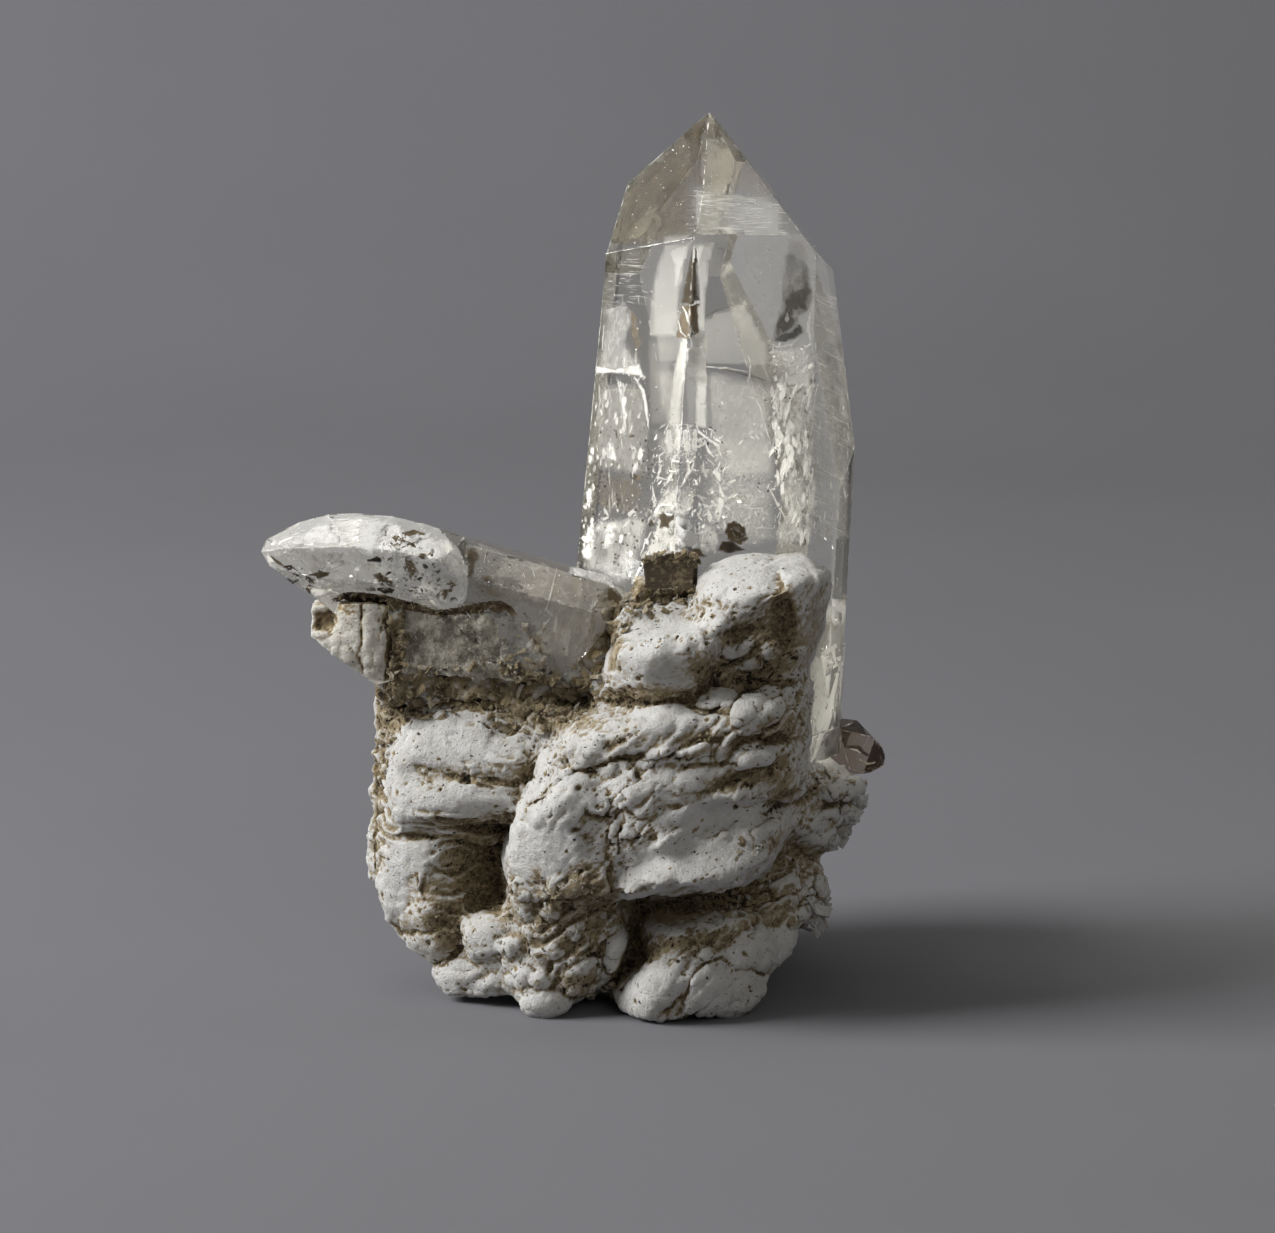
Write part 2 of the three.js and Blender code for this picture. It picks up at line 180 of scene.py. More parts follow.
def smooth(x: Array) -> Array:
    """The usual S curve from 0 to 1 for x from 0 to 1."""
    x = np.clip(x, 0.0, 1.0)
    return x * x * (3 - 2 * x)


def fractal(points: Array, size: float, octaves: int = 4, seed: float = 0.0) -> Array:
    """Fractal noise, from about -1 to 1.

    Args:
        points: One row per point, in metres.
        size: Size of the largest lumps, in metres.
        octaves: How many finer layers it has.
        seed: Shifts the pattern.

    Returns:
        One number per point.
    """
    rows = (points / size + seed * 17.31).tolist()
    return np.array([noise.fractal(r, 1.0, 2.0, octaves) for r in rows])


def chips(co: Array, size: float) -> Array:
    """Flat breaks, each of the given size in millimetres and tilted its own way, from about -0.5 to 0.5."""
    lean = []
    for row in (co / size / MM).tolist():
        middle = noise.voronoi(row)[1][0]
        lean.append((Vector(row) - middle).dot(noise.noise_vector(middle * 7.3)))
    return np.array(lean)


def positions(mesh: Mesh) -> Array:
    """The places of a mesh's vertices, one row each."""
    co = np.empty(len(mesh.vertices) * 3, np.float32)
    mesh.vertices.foreach_get("co", co)
    return co.reshape(-1, 3).astype(float)


def normals(mesh: Mesh) -> Array:
    """The normals of a mesh's vertices, one row each."""
    out = np.empty(len(mesh.vertices) * 3, np.float32)
    mesh.vertex_normals.foreach_get("vector", out)
    return out.reshape(-1, 3).astype(float)


def write_positions(mesh: Mesh, co: Array) -> None:
    """Moves a mesh's vertices to the given rows."""
    mesh.vertices.foreach_set("co", co.astype(np.float32).ravel())
    mesh.update()


def paint(mesh: Mesh, name: str, values: Array | float) -> None:
    """Stores numbers as an attribute that a material reads: one per vertex, one per fused copy, or one for all."""
    values = np.repeat(values, len(mesh.vertices) // np.size(values))
    layer = mesh.attributes.get(name) or mesh.attributes.new(name, "FLOAT", "POINT")
    layer.data.foreach_set("value", values.astype(np.float32))


def paint_film(mesh: Mesh, *values: Array | float) -> None:
    """Paints the three numbers of a film on a mesh."""
    for name, value in zip(FILM, values):
        paint(mesh, name, value)


def merged_copy(node: str) -> BMesh:
    """A copy of a CAD node's mesh with its loose triangles sewn together."""
    bm = bmesh.new()
    bm.from_mesh(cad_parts[node].data)
    bmesh.ops.remove_doubles(bm, verts=bm.verts, dist=1e-6)
    return bm


def flat_faced(node: str) -> BMesh:
    """A copy of a CAD node's mesh, with one face for each face of the crystal."""
    bm = merged_copy(node)
    bmesh.ops.dissolve_limit(bm, angle_limit=FLAT, verts=bm.verts, edges=bm.edges)
    return bm


def worn(node: str, wear: float) -> BMesh:
    """A crystal with its edges rounded off by the given width."""
    bm = flat_faced(node)
    bmesh.ops.bevel(
        bm, geom=bm.edges, offset=wear, segments=2, profile=0.5, affect="EDGES", material=-1, clamp_overlap=True
    )
    return bm


def tree_of(node: str) -> BVHTree:
    """A CAD node's surface, for finding near points and ray hits."""
    bm = merged_copy(node)
    tree = BVHTree.FromBMesh(bm)
    bm.free()
    return tree


def new_piece(name: str, bm: BMesh, shaded_smooth: bool) -> Object:
    """Turns a bmesh into an object of the scene and frees it.

    Args:
        name: The piece's name.
        bm: Its mesh, in the frame's metres.
        shaded_smooth: Whether its faces are shaded as one round surface.

    Returns:
        The new object.
    """
    mesh = bpy.data.meshes.new(name)
    for face in bm.faces:
        face.smooth = shaded_smooth
    bm.to_mesh(mesh)
    bm.free()
    piece = bpy.data.objects.new(name, mesh)
    bpy.context.scene.collection.objects.link(piece)
    return piece


def applied(piece: Object) -> None:
    """Turns a piece's modifiers into its mesh."""
    mesh = bpy.data.meshes.new_from_object(piece.evaluated_get(bpy.context.evaluated_depsgraph_get()))
    piece.modifiers.clear()
    old, piece.data = piece.data, mesh
    bpy.data.meshes.remove(old)


def remeshed(piece: Object, voxel: float) -> None:
    """Replaces a piece's mesh by even quads of the given size."""
    modifier = piece.modifiers.new("even_quads", "REMESH")
    modifier.mode, modifier.voxel_size, modifier.use_smooth_shade = "VOXEL", voxel, True
    applied(piece)


def finish_piece(piece: Object, finishes: Material | Sequence[Material], slot: str, *nodes: str) -> Object:
    """Gives a piece its materials and its body, hides the CAD nodes that it stands for, and reports it.

    Args:
        piece: The piece.
        finishes: Its material, or its materials in their order.
        slot: Not used.
        nodes: The CAD nodes that it replaces.

    Returns:
        The piece.
    """
    for finish in finishes if isinstance(finishes, tuple) else (finishes,):
        piece.data.materials.append(finish)
    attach(piece, "root")
    if nodes:
        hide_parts(*nodes)
    LOG.info("%s: %d faces", piece.name, len(piece.data.polygons))
    return piece


def refracted(way: Vector, out: Vector) -> Vector:
    """The direction of a ray once it is inside quartz.

    Args:
        way: Its direction outside.
        out: The outward normal of the face that it enters.

    Returns:
        Its direction inside.
    """
    bend = 1 / QUARTZ_IOR
    cosine = -way.dot(out)
    return (way * bend + out * (bend * cosine - math.sqrt(1 - bend**2 * (1 - cosine**2)))).normalized()


def once(items: Iterable) -> list:
    """Each item once, in the order of its first place, so that every run gives the same mesh."""
    return list(dict.fromkeys(items))


def diced(bm: BMesh, low: Sequence[float], high: Sequence[float], step: float) -> None:
    """Cuts the faces in a box by level planes in all three directions, so that flat faces stay flat.

    Args:
        bm: The mesh that is cut.
        low: The box's lowest corner, in metres.
        high: The box's highest corner.
        step: The distance between two planes.
    """
    middle = [(a + b) / 2 for a, b in zip(low, high)]
    for axis in range(3):
        for at in np.arange(low[axis] + step / 2, high[axis], step):
            faces = [
                f for f in bm.faces
                if min(v.co[axis] for v in f.verts) < at < max(v.co[axis] for v in f.verts)
                and all(low[k] - step <= f.calc_center_median()[k] <= high[k] + step for k in range(3) if k != axis)
            ]
            geom = faces + once(e for f in faces for e in f.edges) + once(v for f in faces for v in f.verts)
            place, way = Vector(middle), Vector((0, 0, 0))
            place[axis], way[axis] = at, 1.0
            bmesh.ops.bisect_plane(bm, geom=geom, dist=1e-7, plane_co=place, plane_no=way)


def to_segment(pixel: Array, a: Sequence[float], b: Sequence[float]) -> Array:
    """Distance in pixels from each point to the straight line between two corners."""
    start, way = np.array(a, float), np.subtract(b, a).astype(float)
    off = pixel - start
    away = off - np.clip(off @ way / max(way @ way, 1e-9), 0, 1)[:, None] * way
    return np.hypot(away[:, 0], away[:, 1])


def inside_outline(pixel: Array, outline: Sequence[Pixel]) -> Array:
    """Distance to an outline in pixels, positive inside it and negative outside.

    Args:
        pixel: One row per point.
        outline: The corners of a closed shape, in order.

    Returns:
        One number per point.
    """
    near = np.full(len(pixel), np.inf)
    crossed = np.zeros(len(pixel), bool)
    for a, b in zip(outline, (*outline[1:], outline[0])):
        near = np.minimum(near, to_segment(pixel, a, b))
        if b[1] != a[1]:
            spans = (a[1] > pixel[:, 1]) != (b[1] > pixel[:, 1])
            crossed ^= spans & (pixel[:, 0] < a[0] + (b[0] - a[0]) * (pixel[:, 1] - a[1]) / (b[1] - a[1]))
    return np.where(crossed, near, -near)


def strewn(name: str, shape: BMesh, co: Callable[[Array], Array], count: int) -> Object:
    """Many copies of a small shape, fused in one piece.

    Args:
        name: The piece's name.
        shape: One copy, of unit size. It is freed.
        co: Turns the copies' vertices, as rows of places in one block per copy, into their final places.
        count: How many copies there are.

    Returns:
        The new object.
    """
    piece = new_piece(name, shape, False)
    modifier = piece.modifiers.new("copies", "ARRAY")
    modifier.count, modifier.use_relative_offset = count, False
    applied(piece)
    write_positions(piece.data, co(positions(piece.data).reshape(count, -1, 3)).reshape(-1, 3))
    return piece


@dataclass(frozen=True)
class Veil:
    """A thin sheet inside a crystal, such as a healed crack, a smoky patch, painted shade or a painted highlight,
    drawn on the photograph.

    The outline is in pixels, or a line where the sheet has a width. Cover runs from 0 to 1, tone from brown-black
    to white, and broken from an even film to flakes. Depth is the share of the way through the crystal, and tilt
    how many millimetres deeper the sheet lies for each ten pixels to the right and downwards.
    """

    outline: tuple[Pixel, ...]
    cover: float = 0.6
    tone: float = 1.0
    broken: float = 0.3
    soft: float = 3.0
    depth: float = 0.3
    tilt: tuple[float, float] = (0.0, 0.0)
    width: float = 0.0

    def corners(self) -> list[Pixel]:
        """The sheet's outline in pixels. A line gets two sides, which draw together at its ends."""
        if not self.width:
            return list(self.outline)
        line = np.array(self.outline, float)
        way = np.gradient(line, axis=0)
        side = np.stack([-way[:, 1], way[:, 0]], axis=1)
        half = np.full(len(line), 0.5)
        half[[0, -1]] = 0.2
        side *= (half * self.width / np.linalg.norm(side, axis=1))[:, None]
        return [*map(tuple, line + side), *map(tuple, (line - side)[::-1])]


@dataclass(frozen=True)
class Flakes:
    """Many small sheets, chips or scratches strewn over an outline on the photograph.

    Sizes are lengths in pixels. Slim is the width's share of the length, way the long side's direction in degrees
    against the clock from level, and stray how far it varies. Cover, tone and depth are ranges, as for a veil.
    """

    outline: tuple[Pixel, ...]
    count: int
    sizes: tuple[float, float]
    slim: float = 0.3
    way: float = 88.0
    stray: float = 15.0
    cover: tuple[float, float] = (0.5, 1.0)
    tone: tuple[float, float] = (0.9, 1.0)
    depth: tuple[float, float] = (0.02, 0.25)


class VeilMaker:
    """Grows veils in a crystal, each of them seen where the photograph shows it through the front face."""

    # The greatest depth, as a share of the way through, that still lies on the skin, and the least way under it.
    skin_share = 0.005
    margin = 0.12 * MM
    # The side of a veil's small faces in pixels, where it is a line.
    line_step = 1.6
    seed = 3

    def __init__(self, crystal: Crystal, finish: Material, proud: float = 0.04 * MM) -> None:
        """Reads the crystal's surface.

        Args:
            crystal: The crystal.
            finish: The veils' material.
            proud: How far marks on the skin stand proud of it, in metres.
        """
        self.tree = self.skin = tree_of(crystal.node)
        self.finish, self.slot, self.proud = finish, crystal.slot, proud

    def flat(self, veil: Veil) -> BMesh:
        """The veil on the plane of the photograph, in pixels, cut into small faces."""
        corners = veil.corners()
        bm = bmesh.new()
        bm.faces.new([bm.verts.new((x, y, 0)) for x, y in corners])
        bmesh.ops.triangulate(bm, faces=bm.faces)
        low, high = np.min(corners, axis=0), np.max(corners, axis=0)
        step = self.line_step if veil.width else max(2.5, min(high - low) / 9)
        for axis in range(2):
            for at in np.arange(low[axis] + step / 2, high[axis], step):
                place, way = [0.0, 0.0, 0.0], [0.0, 0.0, 0.0]
                place[axis], way[axis] = at, 1.0
                geom = [*bm.verts, *bm.edges, *bm.faces]
                bmesh.ops.bisect_plane(bm, geom=geom, dist=1e-4, plane_co=place, plane_no=way)
        bmesh.ops.triangulate(bm, faces=bm.faces)
        return bm

    def place(self, anchor: Pixel, pixel: Array, share: float, tilt: tuple[float, float]) -> list[Vector] | None:
        """The places inside the crystal at which the camera sees the given pixels.

        Args:
            anchor: The pixel whose face and depth hold for all of them.
            pixel: One row per point.
            share: The depth, as a share of the way through the crystal.
            tilt: How many millimetres deeper it lies for each ten pixels to the right and downwards.

        Returns:
            The places, or None where the camera sees no crystal.
        """
        start, way = CAMERA.ray(anchor)
        at, out, _, _ = self.tree.ray_cast(start, way)
        if at is None:
            return None
        inner = refracted(way, out)
        reach = self.tree.ray_cast(at + inner * 1e-5, inner)[3] or MM
        dull = float(smooth((0.45 - out.dot(KEY_WAY)) / 0.3)) * min(share * 10, 1)
        lean = (pixel - anchor) @ (np.array(tilt) + np.array((-0.8, -0.5)) * dull) * MM / 10
        places = []
        for (x, y), deeper in zip(pixel.tolist(), (lean - min(lean.min(), 0) * min(1, 4 * dull)).tolist()):
            start, way = CAMERA.ray((x, y))
            entry = start + way * ((at - start).dot(out) / way.dot(out))
            if share <= self.skin_share:
                places.append((self.skin.ray_cast(start, way)[0] or entry) - way * self.proud)
                continue
            inner = refracted(way, out)
            room = self.tree.ray_cast(entry + inner * 1e-5, inner)[3] or reach
            depth = min(max(reach * share + deeper, self.margin), max(room - self.margin, 0.05 * MM))
            places.append(entry + inner * depth)
        return places

    def shows(self, pixel: Array) -> bool:
        """Whether the camera sees the crystal at all of the pixels."""
        return all(self.tree.ray_cast(*CAMERA.ray(p))[0] is not None for p in pixel.tolist())

    def strew(self, name: str, clouds: Sequence[Flakes]) -> Object:
        """Strews all flakes of a crystal as one piece with the given name."""
        rng = np.random.default_rng(self.seed)
        bm = bmesh.new()
        bmesh.ops.create_circle(bm, cap_ends=True, cap_tris=True, segments=7, radius=1.0)
        bm.verts.ensure_lookup_table()
        unit = np.array([v.co[:2] for v in bm.verts])
        rim = np.hypot(*unit.T) > 0.5
        places, cover, tone = [], [], []
        for cloud in clouds:
            low, high = np.min(cloud.outline, axis=0), np.max(cloud.outline, axis=0)
            spots = low + (high - low) * rng.random((cloud.count * 8, 2))
            for spot in spots[inside_outline(spots, cloud.outline) > 0][: cloud.count]:
                length = cloud.sizes[0] + (cloud.sizes[1] - cloud.sizes[0]) * rng.random() ** 2.2
                turn = math.radians(cloud.way + rng.normal(0, cloud.stray))
                across = np.array([math.sin(turn), math.cos(turn)])
                along = np.array([across[1], -across[0]])
                ragged = unit * rng.uniform(0.55, 1.2, (len(unit), 1)) * length / 2
                width = max(cloud.slim * rng.uniform(0.6, 1.4), 0.9 / length)
                bow = rng.normal(0, 0.10) / length * ragged[:, :1] ** 2
                pixel = spot + ragged[:, :1] * along + (ragged[:, 1:] * width + bow) * across
                uphill = -math.copysign(rng.uniform(0.6, 2.6), across @ (0.82, 0.57))
                uphill *= 1 if rng.random() < 0.8 else -1
                along_tilt = rng.normal(0, 8.0) * min(cloud.depth[1], 0.25)
                tilt = tuple(across * uphill + along * along_tilt * (length < 12))
                at = self.place(tuple(spot), pixel, rng.uniform(*cloud.depth), tilt) if self.shows(pixel) else None
                if at is None:
                    continue
                places.append([tuple(p) for p in at])
                full, edge = rng.uniform(*cloud.cover), rng.choice([0.2, 0.6, 1.0])
                cover.append(np.where(rim, full * edge, full))
                tone.append(rng.uniform(*cloud.tone))
        piece = strewn(name, bm, lambda co: np.array(places), len(places))
        paint_film(piece.data, np.concatenate(cover), tone, 0.0)
        return finish_piece(piece, self.finish, self.slot)

    def build(self, name: str, veils: Sequence[Veil]) -> Object:
        """Builds all veils of a crystal as one piece with the given name."""
        whole = bmesh.new()
        for veil in veils:
            bm = self.flat(veil)
            pixel = np.array([v.co[:2] for v in bm.verts])
            far = np.c_[pixel / 7.0, np.zeros(len(pixel))]
            sway = np.stack([fractal(far + k * 40.0, 1.0, 3) for k in (0.0, 1.0)], axis=1)
            shown = pixel + sway * (0.8 if veil.width else 0.6 + 0.9 * veil.soft * veil.broken)
            side = 0.5 if veil.width else 0.0
            fade = side + (1 - side) * smooth(np.maximum(inside_outline(pixel, veil.corners()), 0) / veil.soft)
            layers = [bm.verts.layers.float.new(label) for label in FILM]
            places = self.place(tuple(np.mean(veil.outline, axis=0)), shown, veil.depth, veil.tilt)
            if places is None:
                raise ValueError(f"no crystal at {veil.outline[0]}")
            for vert, at, cover in zip(bm.verts, places, (fade * veil.cover).tolist()):
                vert.co = at
                for layer, value in zip(layers, (cover, veil.tone, veil.broken)):
                    vert[layer] = value
            part = bpy.data.meshes.new("part")
            bm.to_mesh(part)
            bm.free()
            whole.from_mesh(part)
            bpy.data.meshes.remove(part)
        return finish_piece(new_piece(name, whole, True), self.finish, self.slot)


@dataclass(frozen=True)
class Stroke:
    """A line drawn on the photograph, along which the surface rises or sinks.

    The two widths are the stroke's reach, in pixels, on the left and on the right of its direction. A small one
    next to a large one makes a ledge. The rise is in millimetres, and soil, which in grooves and under ledges is
    also painted shade, runs from -1, clean, to 1, covered.
    """

    line: tuple[Pixel, ...]
    left: float
    right: float
    rise: float
    soil_and_shade: float = 0.0

    def weight(self, pixel: Array) -> Array:
        """How strongly the stroke works at each pixel, from 0 to 1."""
        best = np.full(len(pixel), np.inf)
        side, run = np.zeros(len(pixel)), np.zeros(len(pixel))
        length = 0.0
        for a, b in zip(self.line, self.line[1:]):
            start, way = np.array(a), np.subtract(b, a).astype(float)
            off = pixel - start
            along = np.clip(off @ way / (way @ way), 0, 1)
            away = off - along[:, None] * way
            far = np.hypot(away[:, 0], away[:, 1])
            nearer = far < best
            best = np.where(nearer, far, best)
            side = np.where(nearer, way[0] * off[:, 1] - way[1] * off[:, 0], side)
            run = np.where(nearer, length + along * np.hypot(*way), run)
            length += np.hypot(*way)
        ends = np.minimum(run, length - run) / min(14.0, length / 2)
        return (1 - smooth(best / np.where(side > 0, self.right, self.left))) * (0.25 + 0.75 * smooth(ends))


@dataclass(frozen=True)
class Spot:
    """An oval place on the photograph: a lump, a hollow, a stain or a place kept calm.

    The radii are in pixels, the turn in degrees against the clock, and the rise in millimetres. A lump has a
    round back and a crease round its foot.
    """

    at: Pixel
    radii: tuple[float, float]
    turn: float = 0.0
    rise: float = 0.0
    soil_and_shade: float = 0.0
    calm: float = 0.0

    def distance(self, pixel: Array) -> Array:
        """Distance from the middle, 1 at the oval's edge."""
        off = pixel - np.array(self.at)
        c, s = math.cos(math.radians(self.turn)), math.sin(math.radians(self.turn))
        x = (off[:, 0] * c - off[:, 1] * s) / self.radii[0]
        y = (off[:, 0] * s + off[:, 1] * c) / self.radii[1]
        return np.hypot(x, y)

    def dome(self, pixel: Array) -> Array:
        """The lump's height at each pixel, from 0 to 1."""
        inside = np.clip(1 - self.distance(pixel) ** 2, 0, 1)
        return inside ** 0.62 if self.rise > 0 else smooth(inside)

    def stain(self, pixel: Array) -> Array:
        """A soft cover that fades out past the oval's edge."""
        return 1 - smooth((self.distance(pixel) - 0.45) / 0.85)


@dataclass(frozen=True)
class Mass:
    """A part of the rock that stands forward, or lies back, by a depth in millimetres towards the camera.

    The outline is in pixels. The step climbs over edge pixels, and over top pixels on the sides that face up. Tilt
    is how many millimetres further forward it comes for each ten pixels to the right and downwards.
    """

    outline: tuple[Pixel, ...]
    depth: float
    edge: float
    top: float = 0.0
    tilt: tuple[float, float] = (0.0, 0.0)

    def reach(self, pixel: Array) -> Array:
        """How far forward the part brings each pixel, in millimetres."""
        lean = (pixel - np.mean(self.outline, axis=0)) @ np.array(self.tilt) / 10
        return (self.depth + lean) * self.weight(pixel)

    def weight(self, pixel: Array) -> Array:
        """How much of its depth the part has at each pixel, from 0 to 1."""
        ring = np.array(self.outline, float)
        ahead = np.roll(ring, -1, axis=0)
        turn = np.sign((ring[:, 0] * ahead[:, 1] - ahead[:, 0] * ring[:, 1]).sum())
        share = np.full(len(pixel), np.inf)
        for a, b in zip(ring, ahead):
            way = (b - a) / np.hypot(*(b - a))
            lit = smooth((turn * way[0] - 0.55) / 0.35)
            share = np.minimum(share, to_segment(pixel, a, b) / (self.edge + max(self.top - self.edge, 0.0) * lit))
        return np.where(inside_outline(pixel, self.outline) > 0, np.clip(share, 0, 1), 0)


@dataclass(frozen=True)
class Bed:
    """A place on the photograph where broken plates lie, with their sizes in millimetres and their soil."""

    outline: tuple[Pixel, ...]
    count: int
    sizes: tuple[float, float]
    soil_and_shade: tuple[float, float] = (0.1, 0.8)
    lift: float = 0.0


class Relief:
    """A mesh that is worked like clay, by noise all over and by strokes drawn on the photograph."""

    groove = 0.55

    def __init__(self, piece: Object) -> None:
        """Reads the piece's mesh, and finds which of its vertices the camera sees."""
        self.mesh = piece.data
        self.edges = np.array([edge.vertices[:] for edge in self.mesh.edges])
        self.co = positions(self.mesh)
        self.normal = normals(self.mesh)
        self.look()
        self.soil_and_shade = np.zeros(len(self.co))

    def look(self) -> None:
        """Finds each vertex's pixel, and how well the camera sees it, from 0 to 1."""
        self.pixel = CAMERA.pixels(self.co)
        sway = np.stack([fractal(self.co, 2.2 * MM, 3, s) for s in (51.0, 52.0)], axis=1)
        self.drawn = self.pixel + 4.0 * sway
        toward = np.array(CAMERA.position) - self.co
        toward /= np.linalg.norm(toward, axis=1)[:, None]
        facing = (self.normal * toward).sum(axis=1)
        tree = self.tree()
        starts = self.co + self.normal * 0.25 * MM
        seen = np.zeros(len(self.co))
        for i in np.flatnonzero(facing > 0.02):
            seen[i] = tree.ray_cast(starts[i], toward[i])[0] is None
        self.seen = self.spread(seen * smooth((facing - 0.02) / 0.2), 3)

    def spread(self, values: Array, rounds: int) -> Array:
        """Averages numbers with their neighbours' along the mesh."""
        a, b = self.edges.T
        count = np.bincount(a, minlength=len(values)) + np.bincount(b, minlength=len(values))
        for _ in range(rounds):
            total = np.bincount(a, values[b], len(values)) + np.bincount(b, values[a], len(values))
            values = 0.5 * values + 0.5 * total / np.maximum(count, 1)
        return values

    def tree(self) -> BVHTree:
        """The mesh's surface as it is now."""
        return BVHTree.FromPolygons(self.co.tolist(), [p.vertices[:] for p in self.mesh.polygons])

    def raise_by(self, amount: Array) -> None:
        """Moves each vertex along its normal by its own amount, in metres."""
        self.co = self.co + self.normal * amount[:, None]

    def shift(self, masses: Iterable[Mass], undercuts: Iterable[Stroke] = ()) -> None:
        """Moves whole parts of the rock towards the camera, or away from it."""
        depth = np.zeros(len(self.co))
        for mass in masses:
            depth += mass.reach(self.drawn)
        for stroke in undercuts:
            depth += stroke.rise * stroke.weight(self.drawn)
            self.soil_and_shade += stroke.soil_and_shade * stroke.weight(self.drawn) * self.seen
        self.co = self.co + np.outer(depth * self.seen * MM, np.array(CAMERA.axes[2]))

    def soften(self, rounds: int) -> None:
        """Rounds off what the camera sees."""
        even = np.stack([self.spread(self.co[:, k], rounds) for k in range(3)], axis=1)
        self.co = self.co + (even - self.co) * np.clip(self.seen, 0, 1)[:, None]

    def cavity(self, rounds: int) -> Array:
        """How far each vertex lies under its surroundings, in metres. It is below 0 on an edge."""
        even = np.stack([self.spread(self.co[:, k], rounds) for k in range(3)], axis=1)
        return ((even - self.co) * self.normal).sum(axis=1)

    def settle(self) -> None:
        """Writes the worked places to the mesh and reads the new normals."""
        write_positions(self.mesh, self.co)
        self.normal = normals(self.mesh)

    def calm(self, spots: Iterable[Spot]) -> Array:
        """How much of the all-over noise each vertex keeps, from 0 to 1."""
        keep = np.ones(len(self.co))
        for spot in spots:
            if spot.calm:
                keep *= 1 - spot.calm * spot.stain(self.pixel) * self.seen
        return keep

    def model(self, spots: Iterable[Spot], strokes: Iterable[Stroke]) -> None:
        """Raises lumps, then draws strokes, and keeps the soil and painted shade that both lay down."""
        lumps = np.zeros(len(self.co))
        cuts = np.zeros(len(self.co))
        for spot in spots:
            if spot.rise > 0:
                lumps = np.maximum(lumps, spot.dome(self.drawn) * spot.rise)
            elif spot.rise < 0:
                cuts += spot.dome(self.drawn) * spot.rise
            if spot.soil_and_shade:
                self.soil_and_shade += spot.stain(self.drawn) * spot.soil_and_shade * self.seen
        vary = 1 + 0.9 * fractal(self.co, 3.5 * MM, 3, 61.0)
        for stroke in strokes:
            weight = stroke.weight(self.drawn) * np.clip(vary, 0.15, 1.5)
            cuts += weight * stroke.rise * (self.groove if stroke.rise < 0 else 1.0)
            self.soil_and_shade += weight * stroke.soil_and_shade * self.seen
        self.raise_by((lumps + cuts) * self.seen * MM)


def openness(co: Array, normal: Array, tree: BVHTree, reach: float, rays: int = 14) -> Array:
    """How open the sky is over each vertex: 1 on a bare bump, towards 0 in a deep hollow.

    Args:
        co: The vertices.
        normal: Their normals.
        tree: The surface that shades them.
        reach: How far away something may be and still shade, in metres.
        rays: How many directions are tried.

    Returns:
        One number per vertex.
    """
    turn = math.pi * (3 - math.sqrt(5)) * np.arange(rays)
    share = (np.arange(rays) + 0.5) / rays
    local = np.stack([np.sqrt(share) * np.cos(turn), np.sqrt(share) * np.sin(turn), np.sqrt(1 - share)], axis=1)
    other = np.where(np.abs(normal[:, 2:3]) < 0.9, [[0, 0, 1.0]], [[1.0, 0, 0]])
    side = np.cross(normal, other)
    side /= np.linalg.norm(side, axis=1)[:, None]
    third = np.cross(normal, side)
    starts = co + normal * 0.05 * MM
    open_sky = np.zeros(len(co))
    for x, y, z in local:
        ways = side * x + third * y + normal * z
        for i, (start, way) in enumerate(zip(starts.tolist(), ways.tolist())):
            met = tree.ray_cast(start, way, reach)[3]
            open_sky[i] += 1.0 if met is None else met / reach
    return open_sky / rays


# Node groups and finishes.


@dataclass(frozen=True)
class Wire:
    """What a node puts out. Sums, differences and products of it add Math nodes."""

    nodes: "Nodes"
    socket: bpy.types.NodeSocket

    def __add__(self, other: "Wire | float") -> "Wire":
        """The sum of both."""
        return self.nodes.math("ADD", self, other)

    def __sub__(self, other: "Wire | float") -> "Wire":
        """This less the other."""
        return self.nodes.math("SUBTRACT", self, other)

    def __rsub__(self, other: float) -> "Wire":
        """A number less this."""
        return self.nodes.math("SUBTRACT", other, self)

    def __mul__(self, other: "Wire | float") -> "Wire":
        """The product of both."""
        return self.nodes.math("MULTIPLY", self, other)


Value = Wire | float | Colour | bpy.types.NodeSocket
Inputs = dict[str | int, Value]


